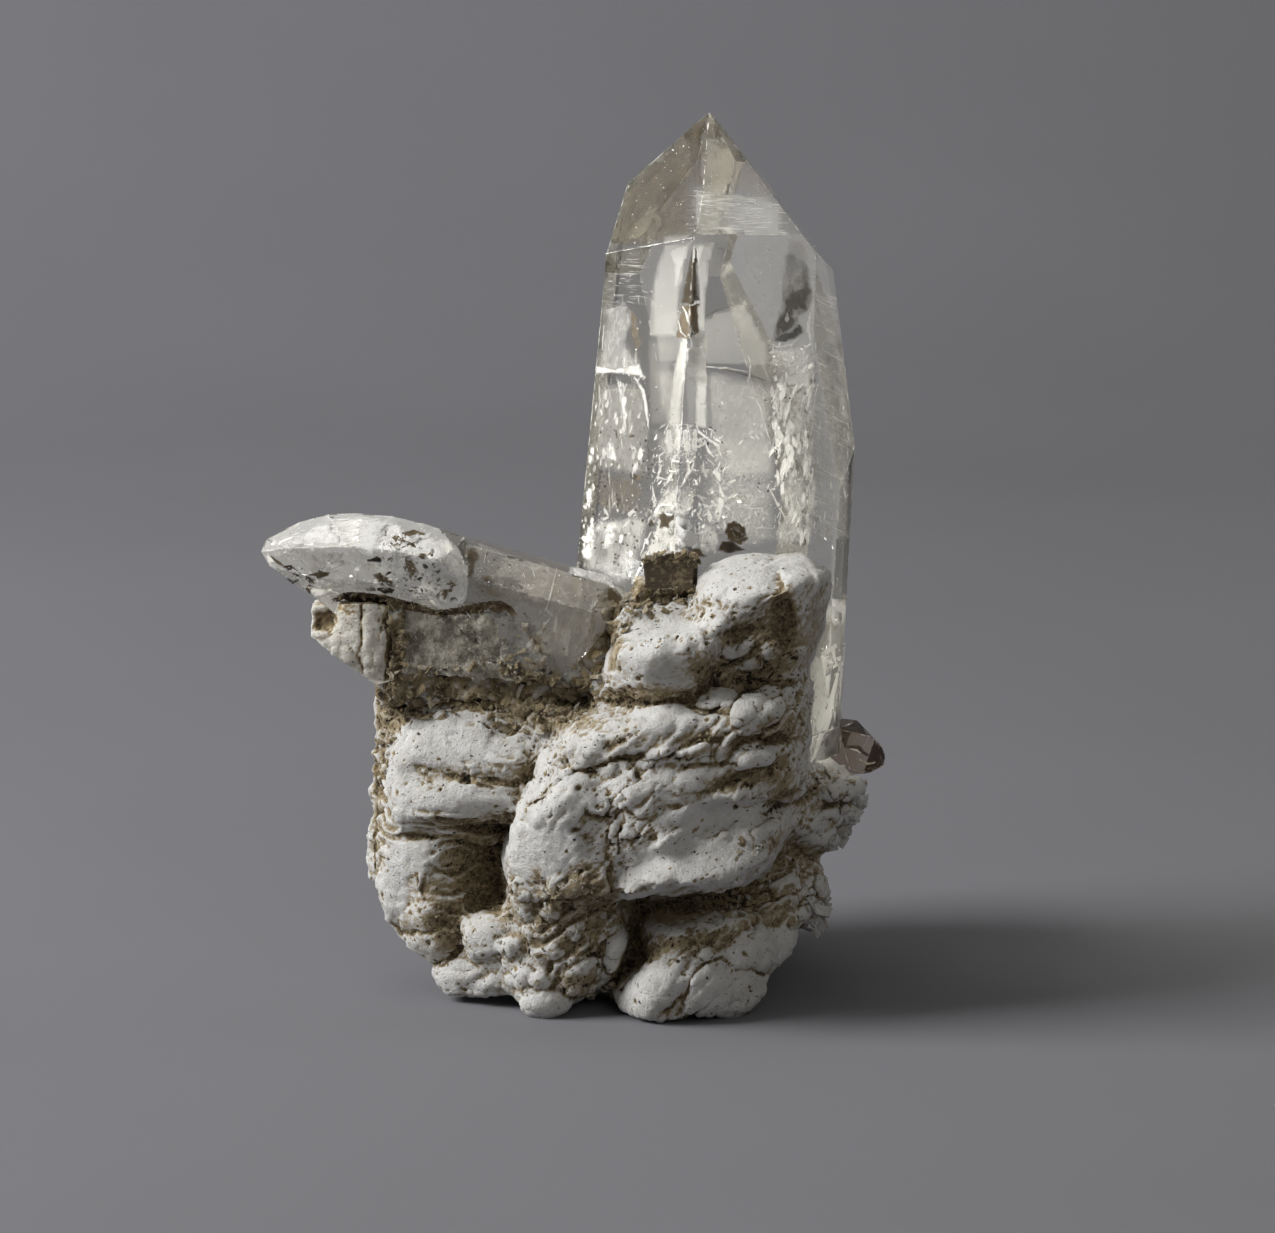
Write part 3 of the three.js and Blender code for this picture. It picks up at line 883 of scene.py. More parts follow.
class Nodes:
    """Short ways to add nodes to a material's, a group's or the world's tree."""

    def __init__(self, tree: bpy.types.NodeTree, owner: Material | None = None) -> None:
        """Works on the given tree, and on the material that has it."""
        self.tree, self.owner = tree, owner

    @classmethod
    def of_material(cls, name: str) -> "Nodes":
        """The empty tree of a new material."""
        owner = bpy.data.materials.new(name)
        owner.use_nodes = True
        owner.node_tree.nodes.clear()
        return cls(owner.node_tree, owner)

    def feed(self, socket: bpy.types.NodeSocket, value: Value) -> None:
        """Links an input to an output, or gives it a value of its own. A colour has three numbers."""
        if isinstance(value, (Wire, bpy.types.NodeSocket)):
            self.tree.links.new(getattr(value, "socket", value), socket)
        else:
            socket.default_value = (*value, 1.0) if socket.type == "RGBA" else value

    def add(self, kind: str, inputs: Inputs | None = None, **settings: object) -> bpy.types.Node:
        """Adds a node.

        Args:
            kind: Its type, without the leading ShaderNode.
            inputs: For each input, a value or the output that feeds it.
            settings: The node's own properties.

        Returns:
            The node.
        """
        node = self.tree.nodes.new("ShaderNode" + kind)
        for key, value in settings.items():
            setattr(node, key, value)
        for key, value in (inputs or {}).items():
            self.feed(node.inputs[key], value)
        return node

    def wire(self, kind: str, inputs: Inputs | None = None, output: str | int = 0, **settings: object) -> Wire:
        """Adds a node and gives one of its outputs. The other arguments are those of add."""
        return Wire(self, self.add(kind, inputs, **settings).outputs[output])

    def math(self, operation: str, a: Value, b: Value, clamp: bool = False) -> Wire:
        """A Math node on two numbers or outputs."""
        return self.wire("Math", {0: a, 1: b}, operation=operation, use_clamp=clamp)

    def ramp(self, value: Value, low: float, high: float, to_low: float = 0.0, to_high: float = 1.0) -> Wire:
        """A smooth step of value between low and high."""
        inputs = {0: value, 1: low, 2: high, 3: to_low, 4: to_high}
        return self.wire("MapRange", inputs, interpolation_type="SMOOTHSTEP")

    def blend(self, share: Value, a: Value, b: Value, mode: str = "MIX") -> Wire:
        """Two colours or colour outputs, mixed by a share from 0 to 1."""
        return self.wire("Mix", {0: share, 6: a, 7: b}, 2, data_type="RGBA", blend_type=mode)

    def place(self, turn: Point = (0, 0, 0), stretch: Point = (1, 1, 1)) -> Wire:
        """Object coordinates, turned in degrees and stretched."""
        where = self.wire("TexCoord", output="Object")
        return self.wire("Mapping", {"Vector": where, "Rotation": tuple(map(math.radians, turn)), "Scale": stretch})

    def noise(self, where: Wire, scale: float, detail: float, rough: float) -> Wire:
        """The grey value of a Noise texture."""
        return self.wire("TexNoise", {"Vector": where, "Scale": scale, "Detail": detail, "Roughness": rough})

    def attribute(self, name: str) -> Wire:
        """A number that is painted on the mesh."""
        return self.wire("Attribute", output="Fac", attribute_name=name)

    def bump(self, height: Wire, strength: float, distance: float) -> Wire:
        """The normal of a relief, whose height from 0 to 1 is a distance in metres."""
        return self.wire("Bump", {"Height": height, "Strength": strength, "Distance": distance})

    def surface(self, **inputs: Value) -> Wire:
        """A Principled shader, with its inputs' names in small letters and joined by underscores."""
        titles = {"ior": "IOR", "specular_ior_level": "Specular IOR Level"}
        named = {titles.get(key, key.replace("_", " ").title()): value for key, value in inputs.items()}
        return self.wire("BsdfPrincipled", named)

    def end(self, surface: Wire, **others: Wire) -> Material:
        """Ends the material in its shader, and its volume if it has one, and gives the material."""
        self.add("OutputMaterial", {"Surface": surface, **{key.title(): value for key, value in others.items()}})
        return self.owner


class Group(Nodes):
    """The tree of a shader node group with named inputs and outputs."""

    def __init__(self, name: str, inputs: dict[str, float | Colour], outputs: dict[str, str]) -> None:
        """Makes the empty group.

        Args:
            name: The group's name.
            inputs: The name and usual value of each input. A tuple makes a colour.
            outputs: The name of each output, with its socket type without NodeSocket.
        """
        super().__init__(bpy.data.node_groups.new(name, "ShaderNodeTree"))
        sides = [(label, "INPUT", "Color" if isinstance(value, tuple) else "Float") for label, value in inputs.items()]
        sides += [(label, "OUTPUT", kind) for label, kind in outputs.items()]
        for label, side, kind in sides:
            socket = self.tree.interface.new_socket(label, in_out=side, socket_type="NodeSocket" + kind)
            if side == "INPUT":
                socket.default_value = (*inputs[label], 1.0) if kind == "Color" else inputs[label]
        self.given = [Wire(self, socket) for socket in self.tree.nodes.new("NodeGroupInput").outputs if socket.name]
        self.ends = self.tree.nodes.new("NodeGroupOutput").inputs


def soil_and_shade_group() -> bpy.types.NodeTree:
    """Builds brown soil and painted shade for hollows and pits: a thin wash, then a grainy cover, and dark specks."""
    n = Group(
        "soil_and_shade_in_hollows",
        {
            "Soil_and_shade": 0.0,
            "Specks": 1.0,
            "Base": (0.7, 0.7, 0.7),
            "Wash": (0.52, 0.405, 0.225),
            "Dark": (0.034, 0.022, 0.010),
            "Light": (0.40, 0.31, 0.17),
        },
        {"Color": "Color", "Cover": "Float", "Height": "Float"},
    )
    soil_and_shade, crowd, base, wash, dark, light = n.given
    where = n.place()
    crumbs = n.noise(where, 2600, 4.0, 0.65)
    uneven = soil_and_shade + (n.noise(where, 700, 6.0, 0.7) - 0.5) * 0.8
    washed = n.ramp(uneven, 0.0, 0.52, 0.0, 0.95)
    cover = n.ramp(uneven + (crumbs - 0.5) * 1.1, 0.52, 0.86)
    tone = n.ramp(crumbs * 0.6 + n.noise(where, 1100, 5.0, 0.7) * 0.4, 0.36, 0.66)
    specks = n.math("MAXIMUM", specks_mask(n, where, soil_and_shade, 860.0), specks_mask(n, where, soil_and_shade, 1700.0)) * crowd
    stained = n.blend(washed, base, n.blend(1.0, base, wash, "MULTIPLY"))
    covered = n.blend(cover, stained, n.blend(tone, dark, light))
    n.feed(n.ends["Color"], n.blend(specks, covered, dark))
    n.feed(n.ends["Cover"], n.math("MAXIMUM", cover, specks))
    n.feed(n.ends["Height"], crumbs * cover - specks * 0.8)
    return n.tree


def specks_mask(n: Nodes, where: Wire, soil_and_shade: Wire, scale: float) -> Wire:
    """A mask of small flat specks, where some cells of a cell pattern hold one, and more of them near soil."""
    flat = n.wire("Mapping", {"Vector": where, "Rotation": (0.0, 0.55, 0.0), "Scale": (scale, scale, scale * 1.7)})
    ragged = n.wire("TexNoise", {"Vector": where, "Scale": scale * 3, "Detail": 2.0}, "Color")
    cells = n.add("TexVoronoi", {"Vector": n.wire("VectorMath", {0: flat, 1: ragged}), "Scale": 1.0})
    pick = n.wire("SeparateColor", {0: cells.outputs["Color"]})
    crowd = n.ramp(n.noise(where, 170, 3.0, 0.6), 0.34, 0.66, 0.91, 0.50)
    held = n.math("GREATER_THAN", pick, crowd - soil_and_shade * 0.5)
    far = n.math("DIVIDE", cells.outputs["Distance"], (pick - 0.25) * 0.33)
    return (1.0 - n.ramp(far, 0.62, 0.95)) * held


@dataclass(frozen=True)
class AlbiteFinish:
    """White feldspar with a soft sheen, a sugary grain and brown soil and painted shade in its hollows."""

    white: Colour = (0.71, 0.70, 0.675)
    shade: Colour = (0.46, 0.44, 0.385)
    milk: Colour = (0.74, 0.74, 0.73)
    specks: float = 1.0
    name: str = "white_albite"

    def make(self, soil_and_shade: bpy.types.NodeTree) -> Material:
        """Builds the material."""
        n = Nodes.of_material(self.name)
        where = n.place()
        patches = n.ramp(n.noise(where, 210, 5.0, 0.65), 0.36, 0.74)
        milk = n.ramp(n.noise(where, 620, 3.0, 0.5), 0.35, 0.8)
        base = n.blend(milk * 0.5, n.blend(patches * 0.55, self.white, self.shade), self.milk)
        inputs = {"Soil_and_shade": n.attribute("soil_and_shade"), "Base": base, "Specks": self.specks}
        dirt = n.add("Group", inputs, node_tree=soil_and_shade).outputs
        cover, height = Wire(n, dirt["Cover"]), Wire(n, dirt["Height"])
        relief = n.noise(where, 900, 3.0, 0.6) * 0.9 + n.noise(where, 3400, 4.0, 0.7) * 1.1 + height * 0.7
        shader = n.surface(
            base_color=dirt["Color"],
            roughness=cover * 0.4 + n.ramp(milk, 0.0, 1.0, 0.40, 0.58),
            normal=n.bump(relief, 0.9, 0.0004),
            subsurface_weight=0.30,
            subsurface_radius=(0.0018, 0.0016, 0.0014),
            subsurface_scale=1.0,
        )
        return n.end(shader)


@dataclass(frozen=True)
class QuartzFinish:
    """Clear quartz: plain transmission and absorption, growth lines across the prism, and a dusting.

    The lamps shine on what lies inside it, through a clear shader with its own shadow colour.
    """

    name: str = "clear_quartz"
    absorbed: Colour = (0.88, 0.865, 0.79)
    density: float = 23.0
    roughness: float = 0.015
    dusting: float = 0.045
    lines: float = 0.35
    milk: float = 0.0
    body: Colour = (1.0, 1.0, 1.0)
    shadow: Colour = (0.90, 0.89, 0.86)

    def make(self) -> Material:
        """Builds the material."""
        n = Nodes.of_material(self.name)
        where = n.place(turn=PRISM_LEAN)
        lines = n.noise(n.wire("Mapping", {"Vector": where, "Scale": (30.0, 30.0, 1500.0)}), 1.0, 3.0, 0.7)
        broken = n.ramp(n.noise(where, 130, 3.0, 0.6), 0.42, 0.66)
        relief = lines * broken * self.lines + n.noise(where, 240, 2.0, 0.5) * 0.35
        dusted = self.roughness + self.dusting
        shader = n.surface(
            base_color=self.body,
            roughness=n.ramp(n.noise(where, 420, 5.0, 0.7), 0.55, 0.80, self.roughness, dusted),
            normal=n.bump(relief, 0.35, 0.0001),
            ior=QUARTZ_IOR,
            transmission_weight=1.0 - self.milk,
        )
        lit = n.wire("LightPath", output="Is Shadow Ray")
        shown = n.wire("MixShader", {0: lit, 1: shader, 2: n.wire("BsdfTransparent", {"Color": self.shadow})})
        return n.end(shown, volume=n.wire("VolumeAbsorption", {"Color": self.absorbed, "Density": self.density}))


@dataclass(frozen=True)
class GlintFinish:
    """Open cracks, which mirror the lights."""

    name: str = "open_cracks"
    silver: Colour = (0.95, 0.94, 0.91)

    def make(self) -> Material:
        """Builds the material."""
        n = Nodes.of_material(self.name)
        where = n.place()
        torn = n.ramp(n.noise(where, 1800, 4.0, 0.65), 0.36, 0.44)
        rough = n.ramp(n.noise(where, 900, 2.0, 0.5), 0.3, 0.7, 0.06, 0.24)
        return n.end(n.surface(base_color=self.silver, metallic=1.0, roughness=rough, alpha=torn * 0.92))


@dataclass(frozen=True)
class VeilFinish:
    """Milky, grey or rusty films inside quartz, even or broken into flakes."""

    name: str = "quartz_veils"
    white: Colour = (0.88, 0.87, 0.835)
    dark: Colour = (0.030, 0.025, 0.019)
    brown: Colour = (0.19, 0.142, 0.080)

    def make(self) -> Material:
        """Builds the material."""
        n = Nodes.of_material(self.name)
        where = n.place(turn=PRISM_LEAN, stretch=(1.0, 1.0, 0.45))
        cover, tone, broken = map(n.attribute, FILM)
        mask = n.ramp(n.noise(where, 1500, 5.0, 0.68) - (0.70 - cover * 0.40), -0.03, 0.05)
        flaky = broken * (mask * n.math("MULTIPLY", cover, 1.25, clamp=True))
        shade = n.math("ADD", tone, (n.noise(where, 800, 4.0, 0.6) - 0.5) * 0.35, clamp=True)
        low = n.blend(n.ramp(shade, 0.0, 0.34), self.dark, self.brown)
        shader = n.surface(
            base_color=n.blend(n.ramp(shade, 0.30, 0.92), low, self.white),
            roughness=0.5,
            alpha=n.math("ADD", (1.0 - broken) * cover, flaky, clamp=True),
            specular_ior_level=0.1,
        )
        return n.end(shader)


@dataclass(frozen=True)
class GrimeFinish:
    """Quartz under a skin of dust or iron stain: a fine network, dark grains and a dull gloss."""

    name: str = "grimy_quartz"
    pale: Colour = (0.60, 0.56, 0.46)
    deep: Colour = (0.150, 0.126, 0.088)
    net: Colour = (0.68, 0.65, 0.57)
    rough: float = 0.5

    def make(self) -> Material:
        """Builds the material."""
        n = Nodes.of_material(self.name)
        where = n.place()
        coarse = n.noise(where, 330, 6.0, 0.72)
        fine = n.noise(where, 2600, 4.0, 0.7)
        sway = n.wire("TexNoise", {"Vector": where, "Scale": 900.0, "Detail": 4.0}, "Color")
        grid, sway = (
            n.wire("VectorMath", {0: value, 1: (factor,) * 3}, operation="MULTIPLY")
            for value, factor in ((where, 1500.0), (sway, 3.0))
        )
        scribble = {"Vector": n.wire("VectorMath", {0: grid, 1: sway}), "Scale": 1.0}
        lines = 1.0 - n.ramp(n.wire("TexVoronoi", scribble, "Distance", feature="DISTANCE_TO_EDGE"), 0.01, 0.09)
        base = n.blend(n.ramp(coarse, 0.36, 0.66), self.deep, self.pale)
        base = n.blend(lines * n.ramp(fine, 0.35, 0.6), base, self.net)
        base = n.blend(n.ramp(fine, 0.60, 0.68) * 0.8, base, self.deep)
        shader = n.surface(
            base_color=base,
            roughness=n.ramp(fine, 0.3, 0.7, self.rough - 0.15, self.rough + 0.2),
            normal=n.bump(coarse * 1.2 + (fine * 0.5 + lines * 0.35), 0.9, 0.0003),
        )
        return n.end(shader)


@dataclass(frozen=True)
class MicaFinish:
    """Dark brown mica: glossy, in thin leaves, with soil between them."""

    leaf: Colour = (0.060, 0.041, 0.021)
    worn: Colour = (0.13, 0.092, 0.050)
    pale: Colour = (0.27, 0.215, 0.13)

    def make(self) -> Material:
        """Builds the material."""
        n = Nodes.of_material("brown_mica")
        where = n.place()
        leaves = n.noise(n.place(stretch=(0.25, 0.25, 4.5)), 900, 4.0, 0.7)
        grit = n.noise(where, 2400, 4.0, 0.7)
        base = n.blend(n.ramp(leaves, 0.40, 0.68), self.leaf, self.worn)
        dirt = n.ramp(grit * 0.5 + n.noise(where, 420, 4.0, 0.65) * 0.5, 0.50, 0.60)
        shader = n.surface(
            base_color=n.blend(dirt, base, self.pale),
            roughness=n.ramp(grit, 0.35, 0.65, 0.28, 0.6),
            normal=n.bump(leaves + grit * 0.6, 0.9, 0.0002),
        )
        return n.end(shader)


# Tables of marks in pixels of the photograph.


def number(text: str) -> float:
    """A number of a table, whole where it has no point."""
    return float(text) if "." in text else int(text)


def corners(text: str) -> tuple[Pixel, ...]:
    """Reads places in pixels, such as an outline's corners."""
    return tuple(tuple(map(number, pair.split(","))) for pair in text.split())


def table(kind: type, text: str) -> tuple:
    """Reads a table of marks: for each its outline or place in pixels, a bar, and its other fields in order.

    Args:
        kind: The class of the marks.
        text: The table. Lines that start with # are remarks, and a mark ends with the line that has its bar.

    Returns:
        The marks.
    """
    marks, outline = [], ""
    for line in text.strip().splitlines():
        if line.startswith("#"):
            continue
        drawn, bar, fields = line.partition("|")
        outline += drawn + " "
        if not bar:
            continue
        points, outline = corners(outline), ""
        plain, named = [], {}
        for field in fields.split():
            name, _, value = field.rpartition("=")
            value = tuple(map(number, value.split(","))) if "," in value else number(value)
            if name:
                named[name] = value
            else:
                plain.append(value)
        marks.append(kind(points if len(points) > 1 else points[0], *plain, **named))
    return tuple(marks)


# The pieces.


# Lumps, hollows and stains of the rock's front, in pixels of the photograph.
# Brown stains, wide and soft. In the hollows, the foot gap and under the ledges they are partly painted shade.
ROCK_SPOTS = table(Spot, """
# The swelling and the lumps at the lower left.
388,895 | 20,30 0 .35 -.3 .7
418,917 | 22,15 0 .5 0 .7
427,944 | 32,19 12 .6 -.1 .8
484,934 | 22,25 20 .7 -.1 .6
508,945 | 15,11 0 .4 -.3
455,976 | 25,19 10 .5 -.3 .4
483,987 | 19,12 15 .5 -.2 .3
412,860 | 24,22 0 .2 -.3 .5
# The dirty, broken middle foot.
546,1004 | 28,14 0 .9 -.4 .7
520,978 | 14,12 0 .5 -.1
542,979 | 12,9 0 .7 -.4
552,912 | 12,13 20 .6 -.1
576,930 | 11,8 40 .6 -.2
553,952 | 11,7 -20 .5 -.1
521,908 | 11,18 0 .5 .1
532,930 | 12,10 0 .4 .2
581,975 | 20,23 -25 .6 .2
613,955 | 13,36 -28 .9 -.3 .8
# The right foot.
648,992 | 38,28 25 .9 -.6 .6
704,990 | 22,28 0 .7 -.8 .5
740,994 | 34,30 10 .8 -.8 .5
764,950 | 38,24 20 .9 -.7 .5
703,955 | 19,11 0 .5 0
690,1014 | 13,6 0 0 .5
# The knob and the slab to its left.
735,574 | 46,27 5 .5 -.7 .85
801,568 | 28,17 -8 .5 -.6 .8
813,620 | 11,40 -8 0 .15 .9
665,629 | 44,11 6 .2 -.7 .8
652,668 | 46,28 0 .25 -.1 .92
738,650 | 18,8 25 .6 -.5
750,665 | 16,7 15 .5 -.5
772,650 | 12,9 0 .4 -.4
# The terraces.
717,698 | 21,12 10 .8 -.3 .7
757,713 | 30,17 12 .9 -.2 .5
776,692 | 24,9 5 .5 -.4
755,756 | 24,15 15 .75 -.4 .4
705,752 | 28,9 12 .45 .1
700,778 | 26,14 12 .55 -.1 .4
665,718 | 40,14 8 .3 -.5 .4
592,748 | 17,13 40 .3 -.5
768,770 | 4,9 0 -.6 1
# The central face and the clean slab are smooth.
545,850 | 44,32 20 .15 -.5 .95
585,800 | 22,24 0 0 -.2 .85
640,780 | 40,22 15 0 0 .5
695,862 | 80,26 6 .1 -.9 .97
725,815 | 60,16 4 0 -.6 .6
660,915 | 60,22 8 .5 0 .9
# The right side.
842,789 | 28,12 8 .7 -.3 .5
835,812 | 19,9 10 .6 -.3 .5
815,836 | 22,18 10 .6 -.1 .5
815,887 | 14,13 0 .8 0
813,916 | 16,17 0 .9 -.2
788,886 | 18,12 10 .5 .2
# The fluted block.
450,745 | 60,22 3 .08 -.5 .9
460,800 | 64,16 0 .15 -.4 .93
404,785 | 14,48 0 .1 -.4 .9
430,703 | 7,4 10 .4 -1
# Brown stains, wide and soft.
465,775 | 90,60 3 0 .12
430,925 | 62,44 0 0 .14
785,618 | 15,34 0 -.5 1
765,645 | 40,30 0 0 .55
742,672 | 42,16 0 0 .45
705,672 | 16,26 30 0 .45
650,694 | 40,10 -4 0 .55
575,726 | 40,9 8 0 .45
610,742 | 36,8 10 0 .35
702,736 | 30,8 8 0 .55
775,722 | 28,22 0 0 .6
737,780 | 42,12 12 0 .65
780,770 | 16,22 0 0 .5
570,920 | 44,40 0 0 .55
575,985 | 26,18 0 0 .4
600,893 | 20,18 0 0 .55
585,872 | 28,12 0 0 .4
536,872 | 8,14 0 0 .55
476,866 | 36,44 0 0 .75
446,925 | 22,24 0 0 .65
430,890 | 14,20 0 0 .35
500,905 | 16,30 0 0 .45
690,905 | 90,14 8 0 .45
700,942 | 64,13 8 0 .75
768,922 | 36,10 0 0 .6
640,962 | 22,14 30 0 .55
622,975 | 16,34 20 0 .55
760,902 | 46,14 0 0 .5
800,858 | 40,20 0 0 .35
798,795 | 26,11 15 -.4 .85
752,846 | 5,16 0 0 .6
775,838 | 12,26 0 0 .4
440,698 | 66,14 0 0 .8
530,704 | 66,22 -5 0 .85
392,704 | 20,34 0 0 .75
505,730 | 30,8 -8 0 .35
378,800 | 8,90 0 0 .25
660,590 | 36,14 0 0 .6
610,640 | 14,34 0 0 .9
575,700 | 22,12 0 -.8 .95
565,878 | 3,3 0 -.5 1
580,873 | 4,3 0 -.6 1
""")
# The rock's large steps.
ROCK_MASSES = table(Mass, """
560,738 575,715 600,707 650,707 700,701 740,692 800,690 800,790 790,815 780,848 762,868 722,884 650,894 612,899
560,908 520,905 504,888 501,862 510,838 518,825 520,805 528,789 538,779 540,761 | 2.2 5 20 -.02,-.1
612,897 625,876 650,852 662,830 690,800 712,790 752,788 768,799 789,808 784,846 762,868 740,879 700,887 665,888
640,894 | 3.2 3 26 -.08,-.24
690,606 690,575 702,556 750,547 802,549 829,562 828,582 803,592 770,604 745,609 715,610 | 1.2 5 16
610,664 614,641 626,621 680,614 725,610 722,640 702,686 675,701 640,703 604,690 | 1.9 5 24
611,1018 605,1000 640,964 700,944 750,929 792,928 803,940 796,966 776,986 763,1020 700,1027 650,1024 | 1.2 7 24
398,735 414,720 450,716 474,713 498,732 525,737 541,748 541,762 530,788 519,805 517,822 425,824 388,832 388,790
394,760 | 1 5 12
597,632 612,629 615,650 606,669 594,665 | -4 6
560,690 590,690 596,706 570,714 555,704 | -2.5 8
795,842 826,836 835,870 826,905 800,905 786,885 | -1.6 12
""")
# Where one part overhangs the next, the surface falls back sharply on one side of a line and returns slowly.
# The soil that they lay under each overhang is partly painted shade.
ROCK_UNDERCUTS = table(Stroke, """
519,820 508,845 502,868 508,893 516,908 | 3 66 -5 .3
410,824 465,825 512,823 | 3 30 -2 .25
556,740 541,762 530,788 519,812 | 3 22 -1.2 .2
612,898 640,895 665,889 700,888 722,884 745,879 760,868 780,850 792,826 | 2.5 50 -5 .1
632,912 626,936 616,962 604,992 600,1024 | 46 2.5 -8 .3
600,702 640,706 672,703 702,690 716,665 735,640 | 3 20 -1.8 .5
722,630 745,624 772,612 | 4 26 -1.4 .3
398,672 450,673 500,677 545,684 585,692 | 3 40 -1.8 .3
612,662 622,652 640,646 662,641 688,637 708,632 722,625 | 10 48 2 -.1
404,752 450,750 500,752 536,758 | 22 24 .45
404,796 450,794 500,796 520,800 | 16 26 .5
626,925 640,950 632,985 | 16 16 -2 .5
745,744 775,740 802,742 | 3 18 -1.2 .5
715,790 735,786 765,786 | 16 3 -1.2 .5
800,806 830,800 862,796 | 3 12 -.8 .2
800,856 826,846 846,838 | 3 18 -1.6 .3
""")
# The smaller blocks and ledges, worked into the finer mesh.
ROCK_BLOCKS = table(Mass, """
541,764 545,748 556,739 580,733 604,722 640,714 655,706 690,712 736,717 740,742 700,757 658,755 625,757 600,764
577,770 561,781 547,798 527,812 520,808 528,790 538,780 | .9 4 14
506,850 512,838 528,817 545,803 563,783 577,771 603,768 625,760 632,764 640,779 622,792 608,803 600,818 585,813
583,830 573,829 590,850 606,857 612,880 600,900 520,902 506,885 | 1 4 12
602,818 608,803 622,792 642,777 655,765 690,770 705,785 698,800 660,813 652,822 636,816 618,812 | .5 4 12
632,766 644,758 660,748 690,745 735,742 738,760 700,768 660,764 650,772 | .4 3 9
583,832 592,820 601,817 612,822 606,838 596,842 | .35 3 7
608,838 616,820 624,818 622,834 614,846 | .35 3 6
612,866 616,848 628,836 640,821 652,826 648,850 630,870 | .3 3 8
521,810 526,795 538,780 549,786 540,802 528,814 | .5 3 6
729,724 735,708 748,700 778,697 800,702 802,722 770,737 740,738 | .8 4 10
738,762 748,750 766,743 778,748 774,760 752,768 | .6 3 9
686,700 700,691 728,687 738,694 732,709 704,710 | .6 3 9
540,898 560,893 566,905 556,920 542,912 | .5 3 5
497,950 500,938 514,933 526,943 522,956 506,960 | .6 3 6
682,996 690,978 704,966 722,972 722,992 706,1008 684,1012 | .5 4 9
822,786 836,777 866,779 880,782 870,798 838,800 | .7 3 9
800,824 816,808 846,806 858,812 842,824 818,832 | .7 3 9
372,700 384,700 386,760 387,880 376,884 366,800 | -.5 3 3
""")
# Ledges, grooves and cracks of the rock's front. The steep side of a ledge faces the light, on the left.
ROCK_STROKES = table(Stroke, """
525,818 545,803 555,792 565,780 577,771 | 6 26 .7 -.3
600,818 608,803 622,792 640,779 653,764 | 6 26 .7 -.3
598,771 615,764 632,764 645,757 660,752 673,745 | 4 15 .5 -.2
505,850 512,838 519,825 521,805 528,790 540,779 541,762 556,740 | 5 14 .5 -.3
573,835 583,831 592,822 602,818 | 3.5 14 .5
607,843 613,829 620,817 | 3.5 9 .5
603,864 613,850 622,838 633,823 | 3.5 11 .5
729,722 735,710 748,703 766,699 | 4 14 .4 -.2
652,826 660,815 680,812 700,800 | 5 16 .3
612,661 622,652 640,646 662,641 688,637 708,632 722,625 | 7 9 .35
655,842 680,838 705,840 740,840 766,830 784,814 | 12 16 .45 -.3
398,735 414,720 450,716 474,713 498,732 525,737 541,748 | 3 12 .3 -.3
# Grooves of the fluted block.
443,776 460,780 490,782 515,784 536,782 | 7 5 -.4 .4
410,766 428,769 442,775 | 3.5 3.5 -.25 .35
425,791 438,784 | 3 3 -.3 .7
426,812 445,819 465,822 500,822 520,818 | 8 12 -.4 .6
388,836 400,834 440,838 458,838 | 4 4 -.4 .6
376,700 377,760 375,830 378,880 | 3 3 -.35 .7
384,725 382,790 387,818 | 3 3 -.3 .5
# Grooves of the knob, the slab beside it and the terraces.
598,700 640,704 665,704 690,699 706,690 719,672 740,656 | 5 5 -.7 1
680,703 700,712 725,714 736,708 | 3.5 3.5 -.6 .9
745,690 760,683 780,686 803,681 | 4 4 -.5 .8
775,570 782,583 775,595 765,606 | 4 4 -.4 .8
700,602 715,607 | 4 4 -.4 .9
722,641 735,631 762,629 | 8 8 -.5 .7
575,771 592,770 603,761 625,757 640,758 656,751 | 4 4 -.2 .35
660,761 675,759 692,756 715,747 736,742 | 4 3 -.3 .5
560,757 575,768 | 3 3 -.35 .7
535,798 549,787 | 3 3 -.4 .9
700,740 717,735 | 7 7 -.4 .7
745,741 775,738 802,738 | 7 7 -.6 .8
690,766 715,762 736,762 | 3.5 3.5 -.35 .7
714,788 735,779 760,771 | 7 7 -.5 .8
604,812 618,811 636,816 652,823 | 3 3 -.25 .4
583,814 600,817 | 4 3 -.3 .6
573,830 584,831 | 3 2.5 -.3 .6
# Streaks on the clean slab, its left end and the cracks below.
728,806 745,807 765,803 777,797 | 2.5 2.5 -.2 .9
752,814 765,812 778,806 | 2.5 2.5 -.2 .9
764,818 778,817 | 2.5 2.5 -.15 .8
687,834 705,826 | 2 2 -.15 .9
703,838 720,832 | 2 2 -.15 .9
741,836 742,850 743,862 | 1.8 1.8 -.1 .8
751,830 753,845 750,858 | 1.8 1.8 -.1 .8
598,903 609,888 612,868 606,857 605,846 | 4 4 -.4 .6
612,867 625,863 638,857 | 3 3 -.2 .5
534,864 540,880 | 3.5 3.5 -.25 .6
540,905 549,899 558,907 | 3.5 3.5 -.5 .9
552,956 548,973 553,990 | 5 5 -.7 .9
562,956 585,952 600,942 | 4 4 -.5 .8
598,944 602,965 596,985 | 3 3 -.3 .3
701,967 689,978 684,996 674,1009 660,1014 | 3 3 -.7 1
717,989 708,1003 697,1010 | 3 3 -.35 .8
690,972 703,965 722,957 735,966 752,971 771,976 | 3.5 3.5 -.6 .9
650,908 668,903 690,907 720,902 | 5 5 -.4 .6
# Creases between the lumps at the lower left.
390,924 402,934 430,931 442,924 | 3 3 -.45 .5
436,970 452,957 465,946 | 3 3 -.4 .6
458,985 469,993 | 4 4 -.4 .8
408,878 418,873 419,886 | 3 3 -.4 .9
""")
